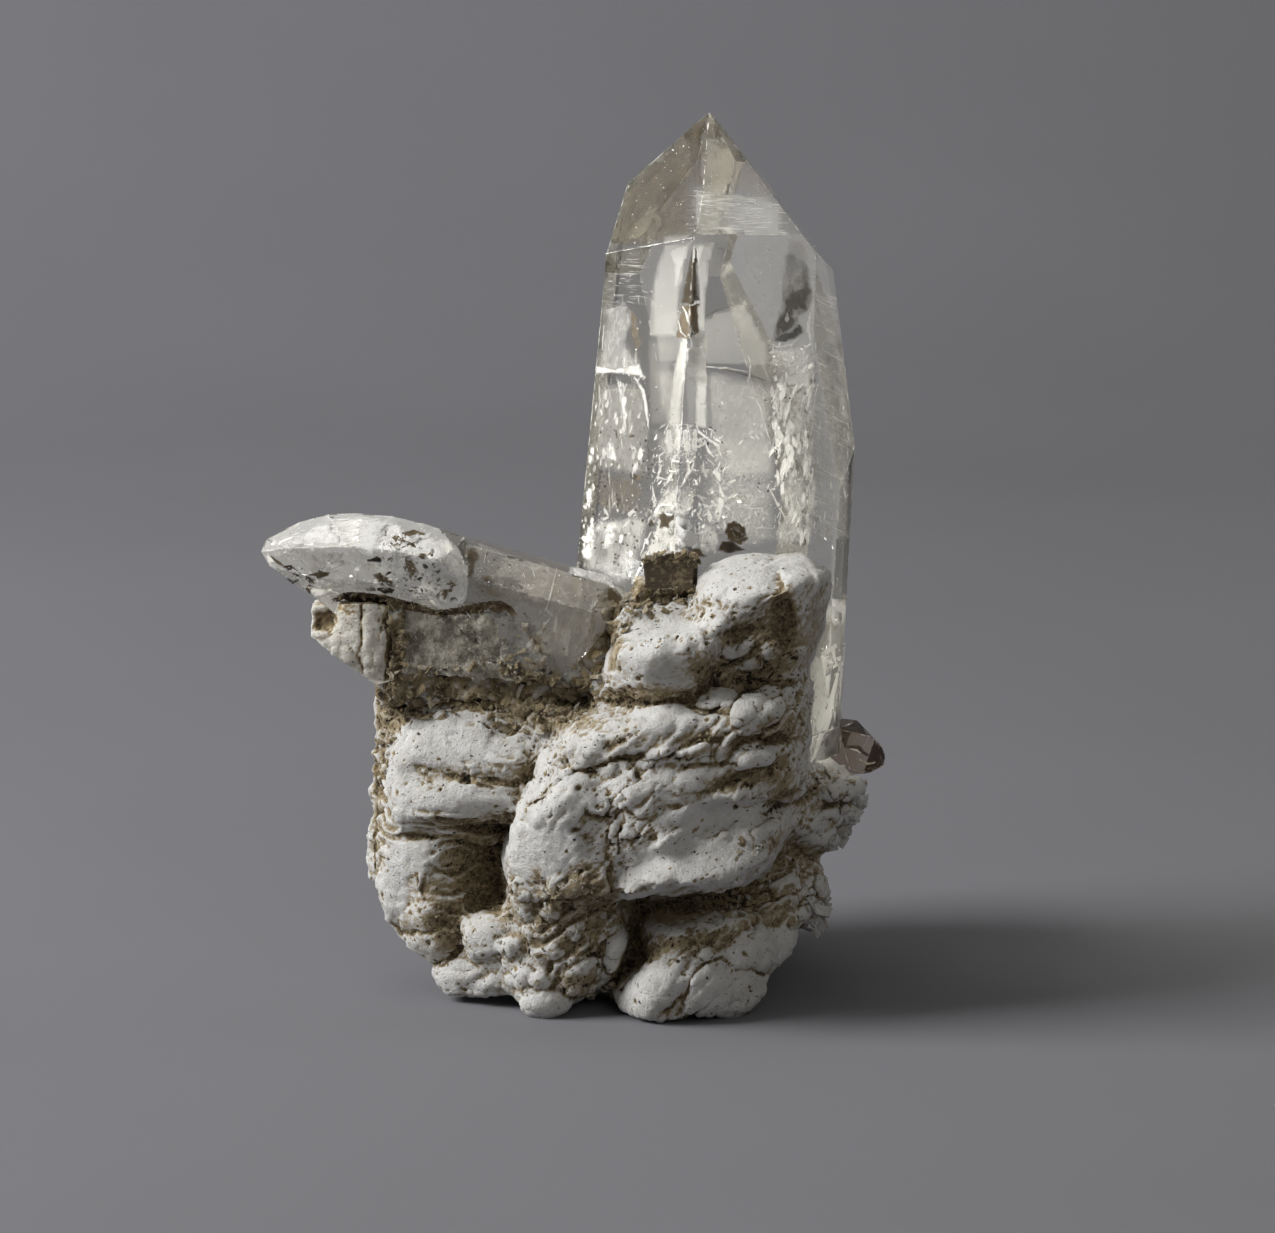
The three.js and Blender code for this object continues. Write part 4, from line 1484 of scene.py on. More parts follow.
# Where broken plates lie.
PLATE_BEDS = table(Bed, """
395,668 500,672 600,668 602,700 560,730 520,738 480,722 400,718 | 300 .5,2.2 .25,.95 .3
600,600 648,578 695,578 698,600 640,622 605,650 594,630 | 110 .4,1.8 .2,.8 .3
505,892 612,882 614,930 592,1000 520,992 500,940 | 200 .3,1.3 .2,.85
376,690 398,690 398,735 390,780 378,780 | 50 .4,1.4 .3,.8
560,716 650,716 640,750 560,765 545,745 | 60 .3,1 0,.6
705,650 800,640 800,690 740,692 705,690 | 70 .3,1.3 .2,.9
740,842 830,842 835,930 770,930 720,915 | 120 .4,1.6 .1,.7
800,770 884,765 870,790 800,806 | 60 .4,1.6 .1,.8
""")
# The rows of small crystals along the rock's right edge.
EDGE_BEDS = table(Bed, """
852,800 866,800 866,818 852,818 | 9 1.2,2.2 -.2,.25 .5
840,812 862,812 860,830 842,834 | 10 1.2,2.2 -.2,.25 .5
826,830 854,826 852,848 828,856 | 14 1,2 -.2,.3 .5
806,898 830,896 830,930 806,934 | 14 1,2.4 -.2,.3 .4
""")


# Sheets inside the upright crystal, from its pyramid down to its foot.
# The black wedge, dark sheets that paint the shade seen through the crystal there, and the white splinters under it.
# The next three white sheets paint the highlights on the dark shard.
# The striated band across the pyramid's front, and dark films that paint the shade on the pyramid's faces.
MAIN_VEILS = table(Veil, """
# The striated band across the pyramid's front, and the pyramid's even haze.
695,189 770,196 783,206 782,237 740,235 696,232 | .3 .95 0 1 .01
735,200 778,206 781,234 750,232 | .3 1 .7 8 .012
697,130 708,119 740,150 775,188 770,195 697,187 | .22 .28 0 5 .1
700,118 696,236 640,246 610,252 613,218 630,185 | .5 .12 0 7 .03
651,217 657,219 656,227 652,226 | .8 .15 .2 1 .02
# The pale slanting panel and the bright strip that runs down from it.
663,244 694,239 687,262 680,300 677,338 648,338 650,300 656,265 | .5 .9 0 3 .3 .4,.2
668,250 690,243 679,280 674,300 674,265 | .4 1 0 2 .2
679,342 690,322 694,332 690,352 686,376 682,400 681,427 667,427 670,395 674,366 | .8 1 .15 2.5 .25 .5,.3
647,340 676,340 672,368 668,400 664,425 650,425 648,380 | .2 .75 .1 4 .35
# The black wedge and the splinters under it.
694,241 697,258 698,300 690,305 681,303 684,286 689,262 | .93 .1 0 1 .06
681,303 690,305 698,300 696,332 688,340 676,338 | .85 .3 .6 1 .08
683,306 688,318 692,334 | .95 1 .2 .7 .05 width=3
694,305 697,318 696,334 | .95 1 .2 .7 .05 width=2.6
678,320 681,332 687,338 | .95 1 .2 .7 .05 width=2.2
# The grey front panel, with its paler shield.
699,321 716,312 738,304 746,305 757,325 769,347 768,366 700,364 | .27 .8 0 1.5 .3
699,321 716,311 738,304 | .55 .15 0 .8 .3 width=2.2
700,366 725,368 751,372 | .75 1 .3 .8 .15 width=2.4
720,369 735,372 752,376 766,381 | .75 .12 .2 .8 .14 width=2.4
# The dark shard and the mottled field at the right.
783,257 790,250 797,256 806,258 812,272 811,284 814,296 811,312 801,316 797,330 786,334 771,342 773,325 779,310
781,294 | .55 .13 .35 2 .02
775,330 777,318 783,312 784,300 791,290 801,288 808,278 813,292 807,302 809,314 799,309 793,316 797,326 789,331
771,342 | .85 .03 .3 2 .03
770,341 781,333 792,330 800,322 805,332 796,339 784,343 | .92 .02 .1 1.5 .03
800,262 811,280 808,296 799,282 | .35 .45 .3 3 .04
811,310 808,326 810,342 | .75 1 .2 1.5 .02 width=5
786,236 806,240 812,262 786,262 | .28 .2 0 6 .05
784,320 787,308 790,319 787,324 | 1 1 0 .6 .004
780,328 783,334 | 1 1 0 .5 .03 width=3.5
767,343 778,347 791,345 799,338 | 1 1 .1 .6 .03 width=2.4
770,348 808,346 811,372 788,376 768,366 | .42 .72 .5 4 .1
786,375 811,371 810,388 784,384 | .97 1 .05 1.5 .08 .6,0
768,382 809,390 808,425 804,450 780,460 768,430 752,392 | .4 .9 .45 6 .14 .5,.1
# White flakes and drops down the right side.
780,392 783,405 780,420 | .95 1 .1 1.2 .12 width=6
776,424 779,436 778,450 | .95 1 .1 1.5 .12 width=9
787,424 788,440 785,452 | .9 1 .1 1.2 .12 width=5
798,420 797,436 798,452 | .95 1 .1 1.2 .12 width=6
803,395 802,420 804,446 | .8 1 .2 1.2 .1 width=5
805,446 806,460 804,476 | .98 1 .05 .8 .05 width=5
785,455 783,466 781,476 | .9 1 .1 1 .1 width=4
795,460 794,474 | .8 1 .1 1 .1 width=4
755,398 760,408 763,417 | .85 1 .1 .8 .1 width=2.4
765,425 768,436 | .9 1 0 .8 .1 width=3
748,355 751,366 748,382 756,396 | .6 1 .3 .8 .12 width=2.2
775,452 778,470 776,490 | .5 .2 .2 1.5 .2 width=5
776,478 807,470 805,545 782,546 771,535 783,512 | .62 .97 .35 5 .12 .4,0
770,490 778,505 786,520 | .9 1 .1 1 .1 width=3
783,528 794,512 806,505 | .9 1 .1 1 .1 width=3
# Curved cracks in the lower front.
690,445 698,447 706,443 708,451 714,457 | 1 1 .05 .8 .1 width=3.2
696,424 699,432 707,438 718,446 722,458 | .85 1 .3 .8 .12 width=3
687,424 689,433 | 1 1 0 .8 .1 width=3.4
704,427 712,430 720,440 | .7 1 .4 .8 .12 width=2
715,470 718,475 720,481 | 1 1 0 .9 .06 width=5.5
719,485 722,496 720,508 718,522 | .85 1 .3 1 .1 width=6
742,507 751,509 763,508 | .8 1 0 .7 .08 width=1.8
744,521 757,528 775,528 | .7 1 0 .7 .08 width=1.8
730,480 750,484 768,486 | .5 1 .2 .7 .1 width=1.6
755,511 757,516 | 1 1 0 .5 .05 width=3
683,455 700,462 722,466 724,500 700,512 684,500 | .3 .6 .6 6 .15 .5,.4
688,463 686,476 687,484 | .6 .12 .3 1.2 .12 width=5
700,466 704,476 | .8 1 .1 .7 .1 width=1.8
# The net of white flakes under the strip.
664,428 682,426 684,452 676,462 664,462 660,445 | .62 1 .75 3 .16 .6,.2
672,458 674,470 666,484 | .9 1 .4 1.2 .14 width=5
659,455 660,470 657,482 | .8 1 .3 1 .14 width=3
655,500 668,486 684,484 684,510 672,512 658,522 648,520 | .6 1 .5 5 .16 .5,-.2
652,485 654,496 656,502 | .9 1 .1 .8 .12 width=2.4
# The bright foot of the front face.
650,522 672,510 692,518 700,540 690,556 668,560 645,575 640,560 645,540 | .72 .9 .75 8 .12 .3,.2
686,520 688,532 686,542 | .95 1 .1 1 .08 width=4
695,526 696,538 694,548 | .95 1 .1 1 .08 width=3
698,520 716,524 722,545 706,556 698,548 | .6 .85 .4 4 .1
724,480 774,486 774,540 745,548 730,520 | .26 .8 .3 6 .2
700,366 768,384 776,440 776,480 724,478 708,440 | .42 .85 .15 9 .2
702,430 776,440 776,545 735,548 700,520 | .4 .85 .35 9 .16
# Brown plates and dirt on the foot.
727,523 735,520 745,526 749,540 741,545 729,543 724,532 | 1 .22 .1 1 0
729,527 740,527 745,538 736,541 | .8 .48 .9 1.5 0
657,514 664,511 668,517 675,512 674,520 669,524 672,531 664,527 658,531 660,522 | 1 .16 .2 1 .004
646,521 652,519 655,525 650,528 | .97 .08 0 .8 .004
685,557 690,542 698,542 703,553 711,558 | .97 .24 .2 1 .004
716,551 722,541 733,541 746,550 730,554 | .97 .1 .2 1 .004
652,531 645,543 640,556 | .95 1 .1 .7 .01 width=1.6
""")
# Flakes, scratches and dust of the upright crystal.
MAIN_FLAKES = table(Flakes, """
616,190 697,97 770,192 826,250 848,430 848,640 800,545 690,550 585,568 592,420 604,300
| 620 .8,2.4 .8 0 90 .4,1 .9,1 0,0
592,420 810,380 806,545 690,552 586,568 | 190 1.3,3.2 .8 0 90 .8,1 0,.12 0,0
698,190 783,203 783,236 698,233 | 150 8,40 .03 -3 2 .3,.8 depth=.004,.02
603,262 650,256 648,304 600,306 | 60 6,22 .05 -3 4 .15,.45 depth=.004,.02
602,300 640,300 648,560 588,560 | 80 6,30 .09 91 5 .15,.5 .6,1
596,370 650,375 650,470 592,470 | 90 3,16 .3 84 16 .25,.8
596,430 650,430 648,505 592,505 | 60 3,10 .45 80 40 .4,.9 .02,.28
584,500 650,505 640,575 582,568 | 150 2,12 .45 85 40 .3,.8
584,470 650,475 640,575 582,568 | 70 1.5,4.5 .7 85 60 .7,1 0,.15 0,0
584,440 596,440 593,568 581,568 | 30 4,12 .45 91 8 .5,.9
655,425 690,420 700,470 690,520 650,530 650,470 | 230 2,9 .2 70 40 .5,1
690,425 730,440 740,520 700,545 688,500 | 190 3,13 .25 110 50
650,500 720,500 724,548 640,570 | 120 3,14 .4 75 30
720,465 776,475 776,545 720,548 | 130 2,10 .25 0 35 .3,.85
700,370 770,384 776,470 722,470 | 90 2,9 .3 70 50 .2,.6
770,388 811,378 808,545 776,545 | 330 3,17 .3 88 18
772,378 811,376 809,478 776,476 | 120 5,22 .4 88 14 .5,1
770,388 811,378 808,545 776,545 | 60 3,10 .4 88 30 .4,.8 .05,.3
770,345 811,345 811,385 768,380 | 80 3,12 .4 60 60 .3,.9 .5,1
814,380 846,380 852,460 850,545 812,545 | 130 16,40 .03 -25 2 .15,.7 depth=.006,.012
814,400 848,400 852,545 812,545 | 60 3,14 .15 88 12 .3,.9 depth=.004,.1
814,290 838,296 846,380 814,375 | 70 4,20 .06 -28 5 .2,.7 depth=.004,.03
786,735 808,735 815,765 790,792 780,780 | 60 4,30 .1 70 6 .6,1 depth=0,.1
822,640 845,640 842,672 824,672 | 30 3,10 .4 60 40 .7,1 depth=0,.1
""")
# Sheets behind the upright crystal's left face.
LEFT_FACE_VEILS = table(Veil, """
601,306 627,301 634,318 626,342 641,364 640,372 598,372 599,335 | .46 .95 .3 4 .16 .3,.2
602,310 612,307 624,303 | .8 .15 .1 .8 .05 width=2.4
629,306 637,318 642,346 636,354 630,332 | .75 .22 .3 1.5 .08
611,322 608,334 | .7 .25 .1 .7 .06 width=2
621,320 618,334 | .7 .25 .1 .7 .06 width=2.2
604,325 602,350 | .7 1 .1 .8 .06 width=3
595,365 615,369 640,363 646,380 636,376 612,373 595,375 | .85 1 .15 1.6 .05 .4,0
632,374 643,390 646,408 649,430 | .75 1 .35 1.6 .07 width=4
616,376 622,396 625,415 623,434 | .6 1 .45 2 .09 width=4.5
606,378 611,400 609,420 | .45 1 .4 1.4 .1 width=3
599,384 600,402 597,420 | .5 1 .2 1 .1 width=2.5
595,380 646,385 650,430 646,478 600,470 590,440 | .45 .72 .15 6 .25 .6,.1
616,430 617,438 | .85 .1 0 1.2 .06 width=6
597,435 597,443 | .8 .12 0 1.2 .05 width=5
649,395 650,412 | .7 .2 .1 .8 .05 width=2.2
648,440 649,460 | .6 .15 .3 1.2 .05 width=4
611,439 616,452 618,463 606,459 607,448 | .7 1 .4 2 .06
587,452 595,455 593,467 587,463 | .85 1 .4 3 .05
600,470 642,478 646,512 604,515 590,500 | .5 .22 .5 6 .1
634,468 632,484 | .8 1 0 .7 .05 width=2
586,484 596,490 594,505 590,514 583,508 | .75 1 .7 4 .06
596,516 612,518 640,512 652,500 646,540 641,562 622,590 603,577 582,570 582,540 | .62 .93 .3 7 .14 .3,.3
585,520 594,528 597,545 589,563 581,556 | .8 1 .6 4 .05
604,520 620,522 614,545 600,556 | .6 1 .4 4 .08
594,537 596,546 | .6 .2 .2 1.2 .04 width=5
650,548 643,562 632,584 | .95 1 .1 .9 .03 width=3
""")
# Sheets behind the upright crystal's narrow right face.
RIGHT_FACE_VEILS = table(Veil, """
816,300 834,296 839,320 842,345 818,344 | .2 .8 .3 3 .15
818,360 836,370 845,380 | .5 1 .2 .7 .03 width=1.4
818,375 835,390 846,396 | .5 .3 .2 .7 .03 width=1.4
814,404 832,410 850,420 | .6 1 .2 .7 .03 width=1.4
814,420 835,428 851,438 | .6 1 .2 .7 .03 width=1.4
826,440 840,444 852,452 | .8 1 .3 .7 .03 width=2
828,436 829,450 | .8 1 .2 .7 .03 width=2
818,462 816,474 | .8 1 .1 .7 .04 width=2
814,350 846,390 851,440 849,540 812,545 811,450 | .34 .95 .25 4 .12
""")
# Sheets inside the reclining crystal.
LEANING_VEILS = table(Veil, """
276,546 300,531 330,519 360,516 394,520 384,532 378,546 374,556 350,547 312,542 | .66 1 .35 4 .12 .1,-.3
299,541 315,541 313,547 304,546 | 1 1 0 1 0
290,549 315,547 345,550 362,557 375,568 360,580 330,584 306,572 | .42 .62 .15 4 .2
346,557 362,560 386,566 402,575 396,581 372,573 352,566 | .9 1 .4 2 .08
385,540 394,534 406,535 401,546 390,549 | 1 .27 .15 1.5 0
402,553 412,558 421,574 411,579 400,566 | .9 .3 .45 1.5 0
371,574 380,572 392,580 399,589 380,586 | .95 .22 .25 1.5 0
375,541 379,531 388,524 | 1 .12 .1 .7 0 width=4.5
388,546 398,536 414,532 427,535 | 1 .2 .1 .7 0 width=5
402,540 412,546 421,549 | 1 .15 .1 .7 0 width=6
367,561 377,559 386,562 | 1 .05 0 .7 0 width=6
356,545 362,552 370,556 | .9 1 .3 .8 0 width=5
388,524 402,527 412,540 402,552 388,556 378,546 | .8 1 .75 2 .004
410,541 426,538 444,540 448,556 436,570 420,572 410,560 | .95 1 .5 2 .004
425,545 440,544 442,553 432,559 424,552 | 1 1 .1 1 0
430,558 452,560 463,572 467,588 461,602 448,605 436,602 424,600 408,596 416,584 428,576 | .95 1 .4 2.5 .1
445,584 452,580 458,586 456,598 447,603 440,595 | 1 .33 .1 1 0
449,552 460,561 466,576 465,594 458,603 | 1 1 0 1 0 width=4.5
264,550 272,557 277,563 268,562 | .95 1 .1 1 .08
268,564 285,578 306,590 330,602 | .85 1 .3 1.2 .1 width=6
283,567 290,568 296,573 303,577 | 1 .05 0 .7 0 width=6
305,578 313,577 320,574 329,574 | 1 .14 0 .7 0 width=8
308,577 312,583 308,590 310,594 | 1 .18 0 .7 0 width=5.5
287,579 293,583 299,580 | .9 .12 0 .7 0 width=3.5
271,556 277,562 283,566 | .9 .18 0 .7 0 width=4
377,589 385,591 394,590 | 1 .05 .1 .7 0 width=7
360,583 368,588 376,590 | .95 .2 .2 .7 0 width=6
396,584 408,580 412,590 400,594 | 1 1 .4 1.5 0
345,578 372,579 392,592 360,591 | .6 .9 .5 2 .004
286,572 298,578 306,590 330,603 318,601 296,588 | .85 1 .35 1.5 .05
# The body behind the head.
557,568 553,585 549,600 545,612 | .75 1 .1 .6 0 width=1.8
487,549 484,563 | .8 1 .1 .6 0 width=1.8
561,580 574,584 581,598 578,609 566,606 558,593 | .55 .08 .1 5 .1
586,586 590,600 587,604 | .4 .12 .2 1.2 .08 width=5
479,575 490,574 500,590 500,599 488,593 | .6 .25 .4 3 .08
466,550 477,546 480,556 474,570 476,582 468,576 | .65 .18 .4 2 0
502,583 514,590 512,597 500,594 | .5 .25 .3 2.5 .08
605,589 613,585 620,593 625,600 618,606 608,600 | .85 .25 .5 2 0
523,572 525,578 | 1 1 0 .5 0 width=2.6
533,570 536,579 | 1 1 0 .5 0 width=2.6
470,545 500,552 556,568 596,583 600,602 560,612 520,600 480,598 | .42 .45 .35 5 .3 0,.2
530,612 596,604 596,640 580,672 550,672 540,640 | .6 .52 .5 5 .15
502,618 530,622 545,640 548,672 510,672 500,645 | .7 .42 .5 4 .08
""")
# Flakes of the reclining crystal.
LEANING_FLAKES = table(Flakes, """
264,550 300,526 360,514 430,530 600,583 600,604 470,600 400,590 330,600 | 260 .8,2.4 .8 0 90 .5,1 .9,1 0,0
276,546 300,531 330,519 360,516 394,520 380,548 312,543 | 130 6,28 .13 8 10 .3,.95 depth=0,0
285,548 345,549 378,566 350,586 300,574 | 60 3,12 .4 10 40 .2,.7 .4,1 0,0
385,524 440,538 466,572 463,602 400,592 378,560 | 200 2,13 .5 30 60 .6,1 .95,1 0,0
385,530 430,540 440,572 440,596 370,592 378,560 | 110 2,9 .5 20 50 .6,1 .02,.28 0,0
268,552 470,552 466,600 330,606 268,566 | 60 1.2,3.5 .7 0 90 .7,1 0,.15 0,0
470,548 600,583 620,604 590,650 545,676 500,640 480,604 | 110 1,4 .6 0 90 .5,1 0,.2 0,0
266,562 306,588 335,601 345,590 400,588 395,578 330,582 290,566 | 110 3,14 .35 -12 25 .4,1 depth=0,0
470,545 600,583 600,604 540,614 480,600 | 170 3,22 .3 -12 25 .1,.45 .35,.9
500,612 545,612 548,676 505,674 | 90 4,16 .6 40 60 .3,.8 .3,1
545,606 598,606 590,650 560,678 545,660 | 90 3,22 .15 60 14 .2,.6 .4,.9
""")
# Sheets inside the smoky crystal at the back.
SMOKY_VEILS = table(Veil, """
846,746 858,748 869,756 | .9 .06 .2 1 .08 width=6
850,749 856,750 861,753 | 1 1 .1 .6 .04 width=2.6
858,758 868,764 876,762 | .7 .9 .4 1 .1 width=4
""")


@dataclass
class AlbiteMatrix:
    """The white rock that everything grows from."""

    voxel: float = 0.80 * MM
    contact: float = 0.12 * MM
    socket_reach: float = 0.9 * MM
    pits: int = 2400
    slant: float = math.radians(38)
    seed: int = 11

    def build(self, finish: Material) -> Object:
        """Builds, sculpts and dresses the rock."""
        piece = new_piece("albite_rock", merged_copy("albite_matrix"), True)
        remeshed(piece, self.voxel)
        block = Relief(piece)
        block.shift(ROCK_MASSES, ROCK_UNDERCUTS)
        block.settle()
        remeshed(piece, self.voxel)
        self.refine_front(piece)
        self.clay = clay = Relief(piece)
        clay.shift(ROCK_BLOCKS)
        clay.soften(1)
        clay.settle()
        self.weather(clay)
        clay.model(ROCK_SPOTS, ROCK_STROKES)
        clay.settle()
        self.pit(clay)
        self.hug_crystals(clay)
        self.lay_soil_and_shade(clay)
        return finish_piece(piece, finish, "albite", "albite_matrix")

    def refine_front(self, piece: Object) -> None:
        """Divides the faces that the camera looks at, so that they hold finer relief, and rounds off the steps."""
        bm = bmesh.new()
        bm.from_mesh(piece.data)
        self.round_off(bm, bm.verts, 1)
        bm.normal_update()
        toward = CAMERA.axes[2]
        front = [f for f in bm.faces if f.normal.dot(toward) > 0.25 and f.calc_center_median().y < 1 * MM]
        edges = once(e for f in front for e in f.edges)
        bmesh.ops.subdivide_edges(bm, edges=edges, cuts=2, use_grid_fill=True)
        self.round_off(bm, once(v for f in front if f.is_valid for v in f.verts), 2)
        bm.to_mesh(piece.data)
        bm.free()

    def round_off(self, bm: BMesh, verts: Sequence[bmesh.types.BMVert], rounds: int) -> None:
        """Smooths some vertices a number of times."""
        for _ in range(rounds):
            bmesh.ops.smooth_vert(bm, verts=verts, factor=0.5, use_axis_x=True, use_axis_y=True, use_axis_z=True)

    def weather(self, clay: Relief) -> None:
        """Raises soft swells, ledges along the grain and breaks on the front, and coarser ones behind."""
        behind = 1 - clay.seen
        keep = clay.calm(ROCK_SPOTS)
        swell = 0.16 * fractal(clay.co, 4 * MM, 3, 1.0) + 0.07 * fractal(clay.co, 0.7 * MM, 3, 3.0)
        fade = 0.10 + 0.90 * smooth((fractal(clay.co, 7 * MM, 2, 4.0) + 0.4) / 0.8)
        ledges = fade * (0.62 * self.ledges(clay.co, 2.4) + 0.14 * self.ledges(clay.co, 1.2))
        breaks = 0.70 * chips(clay.co, 3.4)
        small = 0.34 * chips(clay.co, 1.7) + 0.06 * chips(clay.co, 0.9)
        front = swell + keep * (ledges + small + 0.12 * self.grain(clay.co)) + (0.3 + 0.7 * keep) * breaks
        back = 1.6 * swell + 0.3 * self.cobbles(clay.co) + fade * self.ledges(clay.co, 5.2) + 0.3 * breaks
        back += 1.5 * chips(clay.co, 7.0)
        clay.raise_by((clay.seen * front + behind * back) * MM)
        clay.co[:, 2] = np.maximum(clay.co[:, 2], 0.0)
        clay.settle()

    def slanted(self, co: Array) -> Array:
        """Places along, into and across the grain, which runs level at the left and up to the right elsewhere."""
        slant = self.slant * smooth((co[:, 0] / MM + 8) / 8)
        along = co[:, 0] * np.cos(slant) + co[:, 2] * np.sin(slant)
        return np.stack([along, co[:, 1], co[:, 2] * np.cos(slant) - co[:, 0] * np.sin(slant)], axis=1)

    def grain(self, co: Array) -> Array:
        """Ridges along the grain, from about -0.5 to 0.4."""
        return 0.4 - np.abs(fractal(self.slanted(co) / (3.4, 2.4, 1.3), MM, 4, 31.0)) * 1.5

    def ledges(self, co: Array, size: float) -> Array:
        """Steps along the grain, steep towards the upper left and gentle behind, from about -0.5 to 0.5."""
        rows = self.slanted(co)
        phase = rows[:, 2] / size / MM + 0.8 * fractal(rows / (3.4, 2.0, 2.0), size * MM, 2, 33.0 + size)
        share = phase - np.floor(phase)
        return np.minimum(share / 0.78, (1 - share) / 0.22) - 0.5

    def cobbles(self, co: Array) -> Array:
        """Lumps with creases between them, for the sides and the back, from about -0.5 to 0.6."""
        warp = np.stack([fractal(co, 6 * MM, 2, s) for s in (21.0, 22.0, 23.0)], axis=1) * 1.6 * MM
        rows = ((co + warp) / np.array((7.0, 7.0, 4.6)) / MM).tolist()
        near = np.array([noise.voronoi(r)[0][:2] for r in rows])
        crease = smooth((near[:, 1] - near[:, 0]) / 0.42)
        return 1.1 * crease - 0.5 + 0.25 * fractal(co, 11 * MM, 2, 2.0)

    def pit(self, clay: Relief) -> None:
        """Scatters small pits, each with some soil in it."""
        rng = np.random.default_rng(self.seed)
        tree = KDTree(len(clay.co))
        for i, place in enumerate(clay.co):
            tree.insert(place, i)
        tree.balance()
        crowd = smooth((fractal(clay.co, 8 * MM, 2, 7.0) + 0.35) / 0.7) * (0.3 + 0.7 * clay.calm(ROCK_SPOTS))
        depth = np.zeros(len(clay.co))
        for i in rng.choice(len(clay.co), self.pits, replace=False):
            if rng.random() > crowd[i]:
                continue
            radius = (0.16 + 0.26 * rng.random() ** 3) * MM
            for place, j, away in tree.find_range(clay.co[i], radius):
                strength = 1 - (away / radius) ** 2
                depth[j] = max(depth[j], strength * radius)
                clay.soil_and_shade[j] = max(clay.soil_and_shade[j], 1.1 * strength)
        clay.raise_by(-0.6 * depth)
        clay.settle()

    def hug_crystals(self, clay: Relief) -> None:
        """Closes the sockets onto the crystals, as a crystal grown from rock has no gap round it."""
        self.socket = np.zeros(len(clay.co), bool)
        for node in (*(crystal.node for crystal in Crystal), "feldspar_block"):
            tree = tree_of(node)
            low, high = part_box(node)
            reach = self.socket_reach
            near = np.all((clay.co > np.array(low) - reach) & (clay.co < np.array(high) + reach), axis=1)
            for i in np.flatnonzero(near):
                at, out, _, away = tree.find_nearest(clay.co[i], reach)
                if at is not None:
                    clay.co[i] = at - out * self.contact
                    self.socket[i] = True
        clay.settle()

    def lay_soil_and_shade(self, clay: Relief) -> None:
        """Paints soil and painted shade into hollows and creases and where the strokes laid it, and wears edges clean.
        """
        tree = clay.tree()
        wide = openness(clay.co, clay.normal, tree, 5 * MM)
        wider = openness(clay.co, clay.normal, tree, 14 * MM, 8)
        patch = 0.62 + 0.6 * fractal(clay.co, 6 * MM, 4, 5.0)
        # Hollows get soil and painted shade alike.
        hollow = smooth((0.92 - wide) / 0.42) * patch
        crease = clay.cavity(4) / (0.05 * MM)
        soil_and_shade = 1.1 * np.maximum(hollow, 0) + 0.85 * clay.soil_and_shade
        # Wide recesses get more soil and painted shade, and the steep and downward sides get painted shade.
        soil_and_shade += 0.42 * smooth((0.74 - wider) / 0.34) * patch + 0.20 * smooth((0.40 - clay.normal[:, 2]) / 0.7)
        # Creases get soil and painted shade, and the edges are worn clean.
        soil_and_shade += 0.40 * np.clip(crease - 0.2, 0, 1) - 0.35 * np.clip(-crease - 0.2, 0, 1)
        # The hidden side is kept cleaner.
        soil_and_shade *= 0.5 + 0.5 * clay.seen
        clay.soil_and_shade = np.where(self.socket, 0.0, np.clip(soil_and_shade, 0.0, 1.0))
        paint(clay.mesh, "soil_and_shade", clay.soil_and_shade)


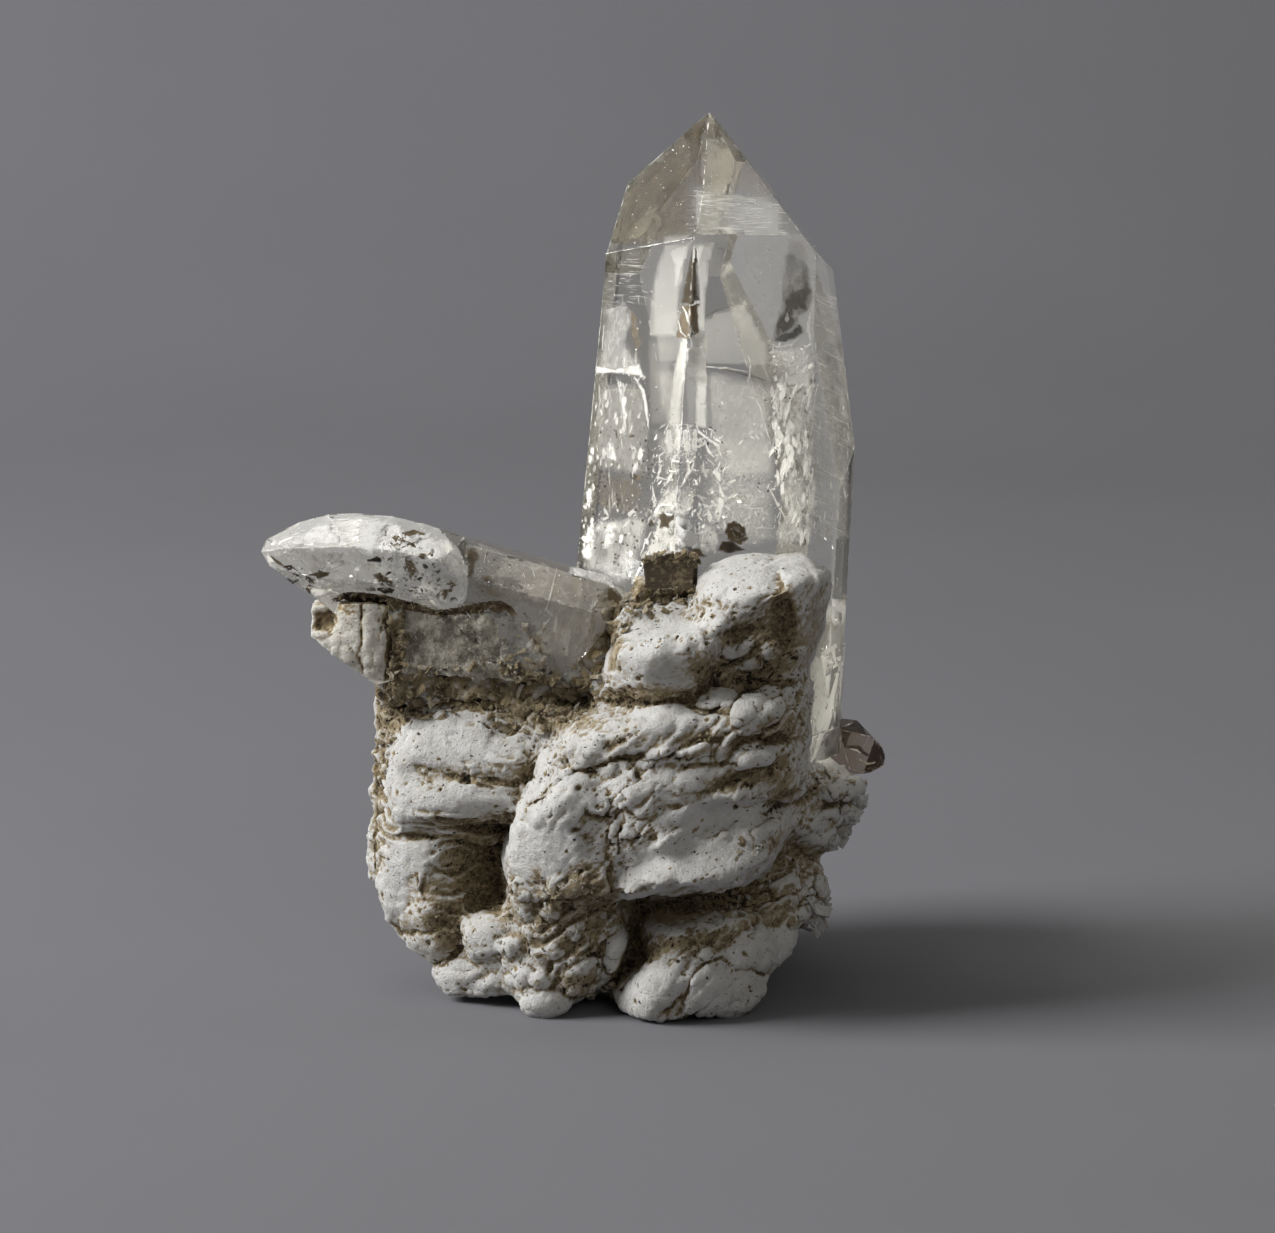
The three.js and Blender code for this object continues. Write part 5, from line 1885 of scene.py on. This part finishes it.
@dataclass
class Litter:
    """What lies loose on a carved piece: broken plates, soil crumbs and small crystals."""

    carrier: Relief
    finish: Material
    seed: int = 21

    def __post_init__(self) -> None:
        """Starts the random draws."""
        self.rng = np.random.default_rng(self.seed)

    def turned(self, out: Array) -> Array:
        """One rotation per copy, as rows of axes, whose last axis is near the surface's normal."""
        up = out + self.rng.normal(0, 0.45, out.shape)
        up /= np.linalg.norm(up, axis=1)[:, None]
        side = np.cross(up, self.rng.normal(0, 1, out.shape) * (0.6, 1.0, 1.6))
        side /= np.linalg.norm(side, axis=1)[:, None]
        return np.stack([side, np.cross(up, side), up], axis=1)

    def plates(self, name: str, beds: Sequence[Bed], shape: Point) -> Object:
        """Strews the plates of all beds, half sunk in what carries them.

        Args:
            name: The piece's name.
            beds: Where they lie.
            shape: A plate's length, width and thickness as shares of its size.

        Returns:
            The new object.
        """
        rng, on = self.rng, self.carrier
        chosen, size, soil_and_shade, lift = [], [], [], []
        for bed in beds:
            held = np.flatnonzero((inside_outline(on.pixel, bed.outline) > 0) & (on.seen > 0.3))
            chosen.append(rng.choice(held, bed.count))
            size.append(bed.sizes[0] + (bed.sizes[1] - bed.sizes[0]) * rng.random(bed.count) ** 2)
            soil_and_shade.append(rng.uniform(*bed.soil_and_shade, bed.count))
            lift.append(np.full(bed.count, bed.lift))
        chosen, size, soil_and_shade, lift = map(np.concatenate, (chosen, size, soil_and_shade, lift))
        bm = bmesh.new()
        bmesh.ops.create_cube(bm, size=1.0)
        axes = self.turned(on.normal[chosen])
        places = on.co[chosen] + on.normal[chosen] * (lift * size * 0.3 * MM)[:, None]

        def spread(co: Array) -> Array:
            """Makes each plate ragged, turns it and puts it in its place."""
            ragged = (co + rng.normal(0, 0.13, co.shape)) * shape * rng.uniform(0.6, 1.3, (len(co), 1, 3))
            return np.einsum("nki,nij->nkj", ragged * size[:, None, None] * MM, axes) + places[:, None]

        piece = strewn(name, bm, spread, len(chosen))
        paint(piece.data, "soil_and_shade", np.clip(soil_and_shade, 0, 1))
        return finish_piece(piece, self.finish, "albite")

    def crumbs(self, name: str, count: int) -> Object:
        """Strews crumbs of soil where the soil lies thick."""
        rng, on = self.rng, self.carrier
        weight = np.clip(on.soil_and_shade - 0.35, 0, 1) ** 1.5
        chosen = rng.choice(len(weight), count, p=weight / weight.sum())
        radius = (0.08 + 0.22 * rng.random(count) ** 2.5) * MM
        bm = bmesh.new()
        bmesh.ops.create_icosphere(bm, subdivisions=1, radius=1.0)
        places = on.co[chosen] + on.normal[chosen] * (0.3 * radius)[:, None]

        def spread(co: Array) -> Array:
            """Makes each crumb uneven and puts it in its place."""
            uneven = co * rng.uniform(0.6, 1.25, (len(co), 1, 3)) * rng.uniform(0.8, 1.15, (*co.shape[:2], 1))
            return uneven * radius[:, None, None] + places[:, None]

        piece = strewn(name, bm, spread, count)
        paint(piece.data, "soil_and_shade", rng.choice([1.0, 0.8, 0.45], count, p=[0.6, 0.25, 0.15]))
        return finish_piece(piece, self.finish, "albite")


@dataclass
class GrowthZone:
    """A faint film inside a crystal, parallel to its faces, that hazes it from every side."""

    crystal: Crystal
    share: tuple[float, float, float] = (0.88, 0.88, 0.965)
    cover: float = 0.16
    tone: float = 0.8
    broken: float = 0.25

    def build(self, name: str, finish: Material) -> Object:
        """Builds and dresses the film."""
        bm = flat_faced(self.crystal.node)
        middle = sum((v.co for v in bm.verts), Vector()) / len(bm.verts)
        bmesh.ops.scale(bm, vec=self.share, space=Matrix.Translation(-middle), verts=bm.verts)
        piece = new_piece(name, bm, False)
        paint_film(piece.data, self.cover, self.tone, self.broken)
        return finish_piece(piece, finish, self.crystal.slot)


@dataclass
class Glints:
    """Small curved cracks scattered through the cloudy parts of a crystal."""

    crystal: Crystal
    crowd: Callable[[Vector], float]
    count: int = 300
    sizes: tuple[float, float] = (0.4 * MM, 1.7 * MM)
    under: float = 0.4 * MM
    seed: int = 5

    def build(self, name: str, finish: Material) -> Object:
        """Scatters the cracks and fuses them in one piece."""
        rng = np.random.default_rng(self.seed)
        tree = tree_of(self.crystal.node)
        low, high = (np.array(c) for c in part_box(self.crystal.node))
        bm = bmesh.new()
        made = 0
        for _ in range(self.count * 60):
            if made == self.count:
                break
            at = Vector(low + (high - low) * rng.random(3))
            if tree.find_nearest(at)[3] < self.under or rng.random() > self.crowd(at) or not self.holds(tree, at):
                continue
            self.crack(bm, at, self.sizes[0] + (self.sizes[1] - self.sizes[0]) * rng.random() ** 2.2, rng)
            made += 1
        return finish_piece(new_piece(name, bm, True), finish, self.crystal.slot)

    def holds(self, tree: BVHTree, at: Vector) -> bool:
        """Whether a place lies inside the crystal, which a line from it leaves one time more than it enters."""
        way, met, count = Vector((0.13, 0.29, 0.95)).normalized(), at, -1
        while met is not None:
            met = tree.ray_cast(met + way * 1e-6, way)[0]
            count += 1
        return count % 2 == 1

    def crack(self, bm: BMesh, at: Vector, size: float, rng: np.random.Generator) -> None:
        """Adds one crack, a ragged dished scale that stands mostly along the crystal."""
        turn = Matrix.Rotation(rng.normal(0.0, 0.55), 3, "X") @ Matrix.Rotation(rng.random() * math.tau, 3, "Z")
        made = bmesh.ops.create_grid(bm, x_segments=2, y_segments=3, size=size / 2)["verts"]
        dish = rng.normal(0.0, 0.55) / size
        for v in made:
            x, y = v.co.x * (0.45 + 0.5 * rng.random()), v.co.y * (0.7 + 0.7 * rng.random())
            v.co = at + turn @ Vector((x, dish * (x * x + y * y), y))


@dataclass
class PlainCrystal:
    """A crystal that keeps the faces of its CAD solid, with worn edges."""

    crystal: Crystal
    wear: float = 0.12 * MM

    def build(self, name: str, finish: Material) -> Object:
        """Builds and dresses the crystal."""
        piece = new_piece(name, worn(self.crystal.node, self.wear), False)
        return finish_piece(piece, finish, self.crystal.slot, self.crystal.node)


# The dull block under the reclining crystal, and the iron crust in the seam above it, in pixels.
DUSTY_BLOCK = corners("""
386,596 440,610 480,610 498,622 500,645 506,672 560,676 575,715 380,715
""")
IRON_SEAM = corners("""
330,600 345,592 362,592 385,595 420,604 436,611 462,606 480,602 500,600 512,606 518,615 511,616 506,611
497,614 488,609 480,614 440,616 385,607 350,605
""")
SEAM_BEDS = (
    Bed(IRON_SEAM, 150, (0.25, 1.0), (0.92, 1.0), 0.3),
) + table(Bed, """
386,655 500,662 560,672 556,684 386,684 | 120 .4,1.8 .3,1 .3
500,622 546,622 546,668 508,668 | 40 .4,1.4 .2,.7 .2
""")


# The cloudy head of the reclining crystal, in pixels.
CLOUDY_HEAD = corners("""
240,550 260,500 410,500 440,530 458,548 468,570 469,592 462,606 440,614 330,616 250,590
""")


@dataclass
class RecliningQuartz:
    """The reclining crystal: a flaky, cloudy head and a grey body on a dull, dusty block."""

    step: float = 0.45 * MM
    wear: float = 0.12 * MM

    def build(self, finishes: Sequence[Material]) -> Object:
        """Builds and dresses the crystal.

        Args:
            finishes: The materials of the grey body, the cloudy head, the dusty block and the iron seam.

        Returns:
            The new object.
        """
        crystal = Crystal.RECLINING
        bm = worn(crystal.node, self.wear)
        low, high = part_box(crystal.node)
        diced(bm, low, high, self.step)
        self.refine_borders(bm)
        piece = new_piece("left_quartz", bm, True)
        self.skin = skin = Relief(piece)
        dull = smooth(inside_outline(skin.drawn, DUSTY_BLOCK) / 4.0)
        dull = np.maximum(dull, smooth((inside_outline(skin.drawn, IRON_SEAM) + 1.0) / 4.0))
        head = smooth(inside_outline(skin.drawn, CLOUDY_HEAD) / 6.0) * (1 - dull)
        rough = 0.55 * fractal(skin.co, 1.6 * MM, 4, 2.0) + 0.35 * chips(skin.co, 1.4)
        flaky = 0.22 * chips(skin.co, 2.6) * smooth((skin.pixel[:, 0] - 370) / 30)
        skin.raise_by((dull * rough + head * flaky + 0.03 * fractal(skin.co, 2.5 * MM, 2, 9.0)) * MM)
        skin.settle()
        skin.soil_and_shade = dull
        finish_piece(piece, finishes, crystal.slot, crystal.node)
        middle = CAMERA.pixels(np.array([p.center[:] for p in piece.data.polygons]))
        index = np.where(inside_outline(middle, CLOUDY_HEAD) > 0, 1, 0)
        index[inside_outline(middle, DUSTY_BLOCK) > 0] = 2
        index[inside_outline(middle, IRON_SEAM) > 0.3] = 3
        piece.data.polygons.foreach_set("material_index", index.astype(np.int32))
        return piece

    def refine_borders(self, bm: BMesh) -> None:
        """Divides the faces under the borders between the parts, so that the borders can be ragged."""
        bmesh.ops.triangulate(bm, faces=[f for f in bm.faces if len(f.verts) > 4])
        bm.normal_update()
        faces = [f for f in bm.faces if f.normal.dot(CAMERA.axes[2]) > 0]
        middle = CAMERA.pixels(np.array([f.calc_center_median()[:] for f in faces]))
        away = np.minimum(np.abs(inside_outline(middle, DUSTY_BLOCK)), np.abs(inside_outline(middle, IRON_SEAM)))
        edges = once(e for f, near in zip(faces, away < 5.0) if near for e in f.edges)
        bmesh.ops.subdivide_edges(bm, edges=edges, cuts=2, use_grid_fill=True)
        bmesh.ops.triangulate(bm, faces=[f for f in bm.faces if len(f.verts) > 4])


# Bodies of brown crust: an outline in pixels, and how far their front and back lie along Y, in millimetres.
CRUST_BODIES = (
    (corners("387,597 404,600 406,640 405,676 396,696 388,692 389,640"), -15.3, -11.0),
    (corners("""
376,692 390,680 404,666 440,670 500,670 556,676 606,674 606,694 560,702 480,702 420,700 380,708
"""), -14.9, -4.0),
    (corners("""
575,680 582,655 594,640 604,622 600,612 616,606 640,594 640,588 648,586 690,585 694,598 650,612 632,622 618,636
608,668 606,694 580,694
"""), -14.3, -8.5),
)
CRUST_BEDS = table(Bed, """
387,598 405,600 405,690 388,690 | 70 .3,1.4 .5,1 .3
380,664 606,664 606,705 380,708 | 260 .4,2 .25,1 .4
575,600 694,585 694,610 610,694 575,694 | 190 .4,2.2 .3,1 .4
""")


@dataclass
class BrownCrust:
    """The crust of soil that fills the gaps under the reclining crystal and beside the upright one."""

    voxel: float = 0.34 * MM

    def build(self, finish: Material) -> Object:
        """Builds the bodies, merges and roughens them, and dresses the crust."""
        bm = bmesh.new()
        for outline, near, far in CRUST_BODIES:
            made = bmesh.ops.create_circle(bm, cap_ends=True, segments=len(outline), radius=1.0)["verts"]
            for vert, pixel in zip(made, outline):
                start, way = CAMERA.ray(pixel)
                vert.co = start + way * ((near * MM - start.y) / way.y)
            back = bmesh.ops.extrude_face_region(bm, geom=[made[0].link_faces[0]])["geom"]
            depth = Vector((0, (far - near) * MM, 0))
            bmesh.ops.translate(bm, vec=depth, verts=[v for v in back if isinstance(v, bmesh.types.BMVert)])
        bmesh.ops.recalc_face_normals(bm, faces=bm.faces)
        piece = new_piece("brown_crust", bm, True)
        remeshed(piece, self.voxel)
        self.clay = clay = Relief(piece)
        lumps = 0.9 * fractal(clay.co, 2.6 * MM, 4, 12.0) + 0.5 * chips(clay.co, 1.3)
        clay.raise_by((lumps - 0.1) * MM)
        clay.settle()
        wide = openness(clay.co, clay.normal, clay.tree(), 4 * MM)
        # The hollows are darker: painted shade, laid in with the crust's soil.
        soil_and_shade = 0.66 + 0.9 * fractal(clay.co, 2.2 * MM, 4, 6.0) + 0.35 * smooth((0.9 - wide) / 0.4)
        clay.soil_and_shade = np.clip(soil_and_shade, 0.12, 1.0)
        paint(clay.mesh, "soil_and_shade", clay.soil_and_shade)
        return finish_piece(piece, finish, "albite")


@dataclass
class EdgeWear:
    """Small bright chips along a crystal's edges."""

    crystal: Crystal
    crowd: float = 1.5
    sizes: tuple[float, float] = (0.15 * MM, 2.0 * MM)
    half: float = 0.085 * MM
    under: float = 0.12 * MM
    sharp: float = math.radians(7)
    seed: int = 13

    def build(self, name: str, finish: Material) -> Object:
        """Builds the chips as one piece."""
        rng = np.random.default_rng(self.seed)
        solid = flat_faced(self.crystal.node)
        rows = []
        for edge in solid.edges:
            if edge.calc_face_angle_signed(0.0) < self.sharp:
                continue
            way, out = edge.verts[1].co - edge.verts[0].co, edge.link_faces[0].normal + edge.link_faces[1].normal
            for along in rng.random(rng.poisson(way.length / MM * self.crowd)):
                at = edge.verts[0].co + way * along - out.normalized() * self.under
                rows.append((*at, *way.normalized(), *way.cross(out).normalized(), way.length))
        solid.free()
        at, way, across, length = np.split(np.array(rows), (3, 6, 9), axis=1)
        count = len(at)
        reach = self.sizes[0] + (self.sizes[1] - self.sizes[0]) * rng.random((count, 1)) ** 3
        reach = np.minimum(reach, length * 0.3)
        bm = bmesh.new()
        bmesh.ops.create_circle(bm, cap_ends=True, cap_tris=True, segments=7, radius=1.0)

        def spread(co: Array) -> Array:
            """Stretches each chip along its edge."""
            ragged = co * rng.uniform(0.5, 1.1, (*co.shape[:2], 1))
            slim = self.half * rng.uniform(0.4, 1.0, (count, 1, 1))
            long = ragged[:, :, :1] * (way * reach / 2)[:, None]
            return at[:, None] + long + ragged[:, :, 1:2] * across[:, None] * slim

        piece = strewn(name, bm, spread, count)
        paint_film(piece.data, rng.uniform(0.25, 1.0, count), 1.0, 0.0)
        return finish_piece(piece, finish, self.crystal.slot)


# Relief of the cream block, in pixels.
CREAM_SPOTS = table(Spot, """
324,621 | 14,15 0 -.9 .45
322,633 | 10,6 0 .4 -.2
340,650 | 26,18 20 .3 -.4 .5
372,640 | 12,40 0 .3 -.3
335,603 | 28,6 -8 0 .7
378,600 | 20,8 0 0 .7
394,650 | 9,60 0 -.3 1.4
""")
CREAM_STROKES = table(Stroke, """
362,596 361,620 363,640 358,655 364,676 | 2.2 2.2 -.6 1.1
376,610 380,628 374,650 372,670 | 1.8 1.8 -.3 .9
386,598 387,640 384,690 | 2.2 2.2 -.5 1.1
345,640 356,655 360,668 | 1.8 1.8 -.3 .8
313,628 325,630 337,640 | 3 3 -.4 .6
330,605 345,615 358,612 | 2.5 2.5 -.25 .5
""")


@dataclass
class CreamBlock:
    """The cream feldspar block under the reclining crystal's head."""

    voxel: float = 0.26 * MM

    def build(self, finish: Material) -> Object:
        """Builds, sculpts and dresses the block."""
        piece = new_piece("cream_feldspar", merged_copy("feldspar_block"), True)
        remeshed(piece, self.voxel)
        clay = Relief(piece)
        clay.groove = 0.6
        breaks = 0.35 * chips(clay.co, 2.2) + 0.20 * chips(clay.co, 1.0)
        clay.raise_by((0.16 * fractal(clay.co, 2 * MM, 4, 8.0) + breaks - 0.05) * MM)
        clay.settle()
        clay.model(CREAM_SPOTS, CREAM_STROKES)
        clay.settle()
        wide = openness(clay.co, clay.normal, clay.tree(), 3 * MM)
        # Hollows and creases get painted shade with the soil, and the edges are kept clean.
        soil_and_shade = clay.soil_and_shade + 0.5 * smooth((0.9 - wide) / 0.4) + 0.35 * np.clip(clay.cavity(4) / (0.04 * MM) - 0.2, -1, 1)
        paint(clay.mesh, "soil_and_shade", np.clip(soil_and_shade + 0.15 * fractal(clay.co, 3 * MM, 3, 4.0), 0, 1))
        return finish_piece(piece, finish, "feldspar", "feldspar_block")


# Where dirt lies on the book.
MICA_BEDS = table(Bed, """
644,552 700,552 698,568 646,566 | 110 .3,1.3 .6,1 .6
644,574 698,574 698,592 644,592 | 60 .3,1.1 .7,1 .4
648,560 692,560 692,586 648,586 | 26 .25,.7 .7,1 .2
""")


@dataclass
class MicaBook:
    """The small book of mica leaves at the upright crystal's foot."""

    leaves: int = 15
    seed: int = 8

    def build(self, finish: Material) -> Object:
        """Stacks the leaves, each a little turned and worn, inside the CAD solid's box."""
        low, high = (np.array(c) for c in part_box("mica_book"))
        middle, size = (low + high) / 2, high - low
        rng = np.random.default_rng(self.seed)
        bm = bmesh.new()
        bmesh.ops.create_cube(bm, size=1.0)
        long = [e for e in bm.edges if abs(e.verts[0].co.x - e.verts[1].co.x) > 0.5]
        bmesh.ops.subdivide_edges(bm, edges=long, cuts=5)

        def stack(co: Array) -> Array:
            """Turns the copies into leaves that stand on edge, one behind the other."""
            count = len(co)
            at = ((np.arange(count) + 0.5) / count - 0.5)[:, None]
            ragged = co + rng.normal(0, 0.035, co.shape) * (1, 0, 1)
            wavy = 1 + 0.14 * np.sin(ragged[:, :, 0] * 9 + at * 20)
            ragged[:, :, 2] *= rng.uniform(0.60, 0.98, (count, 1)) * wavy
            ragged[:, :, 0] *= rng.uniform(0.84, 1.0, (count, 1))
            ragged[:, :, 0] += rng.uniform(-0.06, 0.06, (count, 1))
            lean = 0.05 * ragged[:, :, 0] * rng.uniform(-1, 1, (count, 1))
            ragged[:, :, 1] = at + ragged[:, :, 1] * 0.9 / count + lean
            return middle + ragged * size * 0.98

        piece = strewn("mica_leaves", bm, stack, self.leaves)
        return finish_piece(piece, finish, "mica", "mica_book")


# The studio.


@dataclass
class Studio:
    """A grey sweep, a soft box from the left and a weak fill."""

    floor: Colour = (0.168, 0.168, 0.181)
    room: Colour = (0.228, 0.219, 0.202)
    room_behind_camera: Colour = (0.10, 0.095, 0.085)
    key_power: float = 15.6
    fill_power: float = 1.3
    back_power: float = 2.0
    bend_radius: float = 0.35
    bend_start: float = 0.45

    def build(self) -> None:
        """Builds the sweep, the lights and the world."""
        self.sweep()
        self.light("key_box", (-0.84, -0.12, 0.64), (0.0, 0.0, 0.045), 0.50, self.key_power)
        self.light("fill_box", (0.45, -0.90, 0.60), (0.0, 0.0, 0.04), 0.80, self.fill_power)
        self.light("back_box", (-0.1, 0.25, 0.95), (-0.1, 1.0, 0.45), 0.60, self.back_power)
        self.surroundings()
        bpy.context.scene.view_settings.view_transform = "Standard"

    def surroundings(self) -> None:
        """Lights the room round the sweep, a little warmer than the paper and darker behind the camera."""
        world = bpy.data.worlds.new("studio")
        world.use_nodes = True
        n = Nodes(world.node_tree)
        ahead = n.ramp(n.wire("SeparateXYZ", {0: n.wire("TexCoord", output="Generated")}, "Y"), -0.9, 0.1)
        colour = n.blend(ahead, self.room_behind_camera, self.room)
        n.feed(world.node_tree.nodes["Background"].inputs["Color"], colour)
        bpy.context.scene.world = world

    def light(self, name: str, at: Point, aim: Point, size: float, power: float) -> None:
        """Hangs a square soft light of the given size in metres and power in watts."""
        data = bpy.data.lights.new(name, "AREA")
        data.shape, data.size, data.energy = "SQUARE", size, power
        lamp = bpy.data.objects.new(name, data)
        lamp.location = at
        lamp.rotation_mode = "QUATERNION"
        lamp.rotation_quaternion = (Vector(aim) - Vector(at)).to_track_quat("-Z", "Y")
        bpy.context.scene.collection.objects.link(lamp)

    def sweep(self) -> None:
        """Builds the floor, which curves up into the backdrop."""
        bm = bmesh.new()
        bmesh.ops.create_grid(bm, x_segments=2, y_segments=60, size=1.0)
        radius, start = self.bend_radius, self.bend_start
        for v in bm.verts:
            v.co.x *= 1.6
            run = (v.co.y + 1) * 1.25 - 0.9
            bend = min(max((run - start) / radius, 0.0), math.pi / 2)
            rest = max(run - start - radius * math.pi / 2, 0.0)
            v.co.y = min(run, start) + radius * math.sin(bend)
            v.co.z = radius * (1 - math.cos(bend)) + rest
        piece = new_piece("sweep", bm, True)
        n = Nodes.of_material("grey_paper")
        tone = n.noise(n.place(), 9.0, 3.0, 0.5)
        colour = n.blend(n.ramp(tone, 0.3, 0.7), self.floor, tuple(c * 1.04 for c in self.floor))
        piece.data.materials.append(n.end(n.surface(base_color=colour, roughness=0.9, specular_ior_level=0.2)))


def main() -> None:
    """Builds the specimen and its studio, and reports each piece."""
    logging.basicConfig(level=logging.INFO, format="%(name)s: %(message)s")
    noise.seed_set(NOISE_SEED)
    CAMERA.build()
    Studio().build()
    soil_and_shade = soil_and_shade_group()
    white = AlbiteFinish().make(soil_and_shade)
    rock = AlbiteMatrix()
    rock.build(white)
    litter = Litter(rock.clay, white)
    litter.plates("crust_plates", PLATE_BEDS, (0.75, 0.45, 0.16))
    litter.plates("edge_crystals", EDGE_BEDS, (0.8, 0.7, 0.5))
    litter.crumbs("soil_crumbs", 2200)
    PlainCrystal(Crystal.UPRIGHT, 0.16 * MM).build("main_quartz", QuartzFinish().make())
    milk = VeilFinish().make()
    veils = VeilMaker(Crystal.UPRIGHT, milk, 0.09 * MM)
    veils.build("main_quartz_veils", MAIN_VEILS + LEFT_FACE_VEILS + RIGHT_FACE_VEILS)
    veils.proud = 0.05 * MM
    veils.strew("main_quartz_flakes", MAIN_FLAKES)
    EdgeWear(Crystal.UPRIGHT).build("main_quartz_edges", milk)
    EdgeWear(Crystal.RECLINING, 2.0).build("left_quartz_edges", milk)
    EdgeWear(Crystal.REAR, 2.0).build("rear_quartz_edges", milk)
    GrowthZone(Crystal.UPRIGHT, cover=0.09).build("main_quartz_growth_zone", milk)

    silver = GlintFinish().make()
    foot = Glints(Crystal.UPRIGHT, lambda at: float(smooth((0.064 - at.z) / 0.030)), 330)
    foot.build("main_quartz_cracks", silver)
    tip = Glints(Crystal.RECLINING, lambda at: float(smooth((at.x + 0.017) / -0.006)), 160)
    tip.sizes, tip.under, tip.seed = (0.3 * MM, 1.1 * MM), 0.25 * MM, 7
    tip.build("left_quartz_cracks", silver)
    VeilMaker(Crystal.REAR, milk).build("rear_quartz_veils", SMOKY_VEILS)

    finishes = (
        QuartzFinish("grey_quartz", density=60.0, roughness=0.06, dusting=0.3, milk=0.30, body=(0.62, 0.60, 0.56)),
        QuartzFinish("cloudy_quartz", density=20.0, roughness=0.05, dusting=0.2, milk=0.36, body=(0.98, 0.97, 0.94)),
        GrimeFinish(),
        GrimeFinish("iron_crust", (0.17, 0.112, 0.052), (0.030, 0.019, 0.011), (0.24, 0.17, 0.09), 0.7),
    )
    reclining = RecliningQuartz()
    reclining.build(tuple(finish.make() for finish in finishes))
    veils = VeilMaker(Crystal.RECLINING, milk, 0.05 * MM)
    veils.skin = reclining.skin.tree()
    veils.build("left_quartz_veils", LEANING_VEILS)
    veils.proud = 0.08 * MM
    veils.strew("left_quartz_flakes", LEANING_FLAKES)
    Litter(reclining.skin, white, 31).plates("seam_plates", SEAM_BEDS, (0.75, 0.45, 0.18))

    crust = BrownCrust()
    crust.build(white)
    Litter(crust.clay, white, 41).plates("crust_shards", CRUST_BEDS, (1.0, 0.35, 0.12))
    cream = AlbiteFinish((0.80, 0.765, 0.68), (0.56, 0.51, 0.41), (0.82, 0.805, 0.75), 0.8, "cream_feldspar")
    CreamBlock().build(cream.make(soil_and_shade))
    book = Relief(MicaBook().build(MicaFinish().make()))
    Litter(book, white, 51).plates("mica_dirt", MICA_BEDS, (0.9, 0.5, 0.3))
    smoky = QuartzFinish("smoky_quartz", absorbed=(0.62, 0.50, 0.36), density=260.0, roughness=0.08)
    PlainCrystal(Crystal.REAR).build("rear_quartz", smoky.make())


if __name__ == "__main__":
    main()
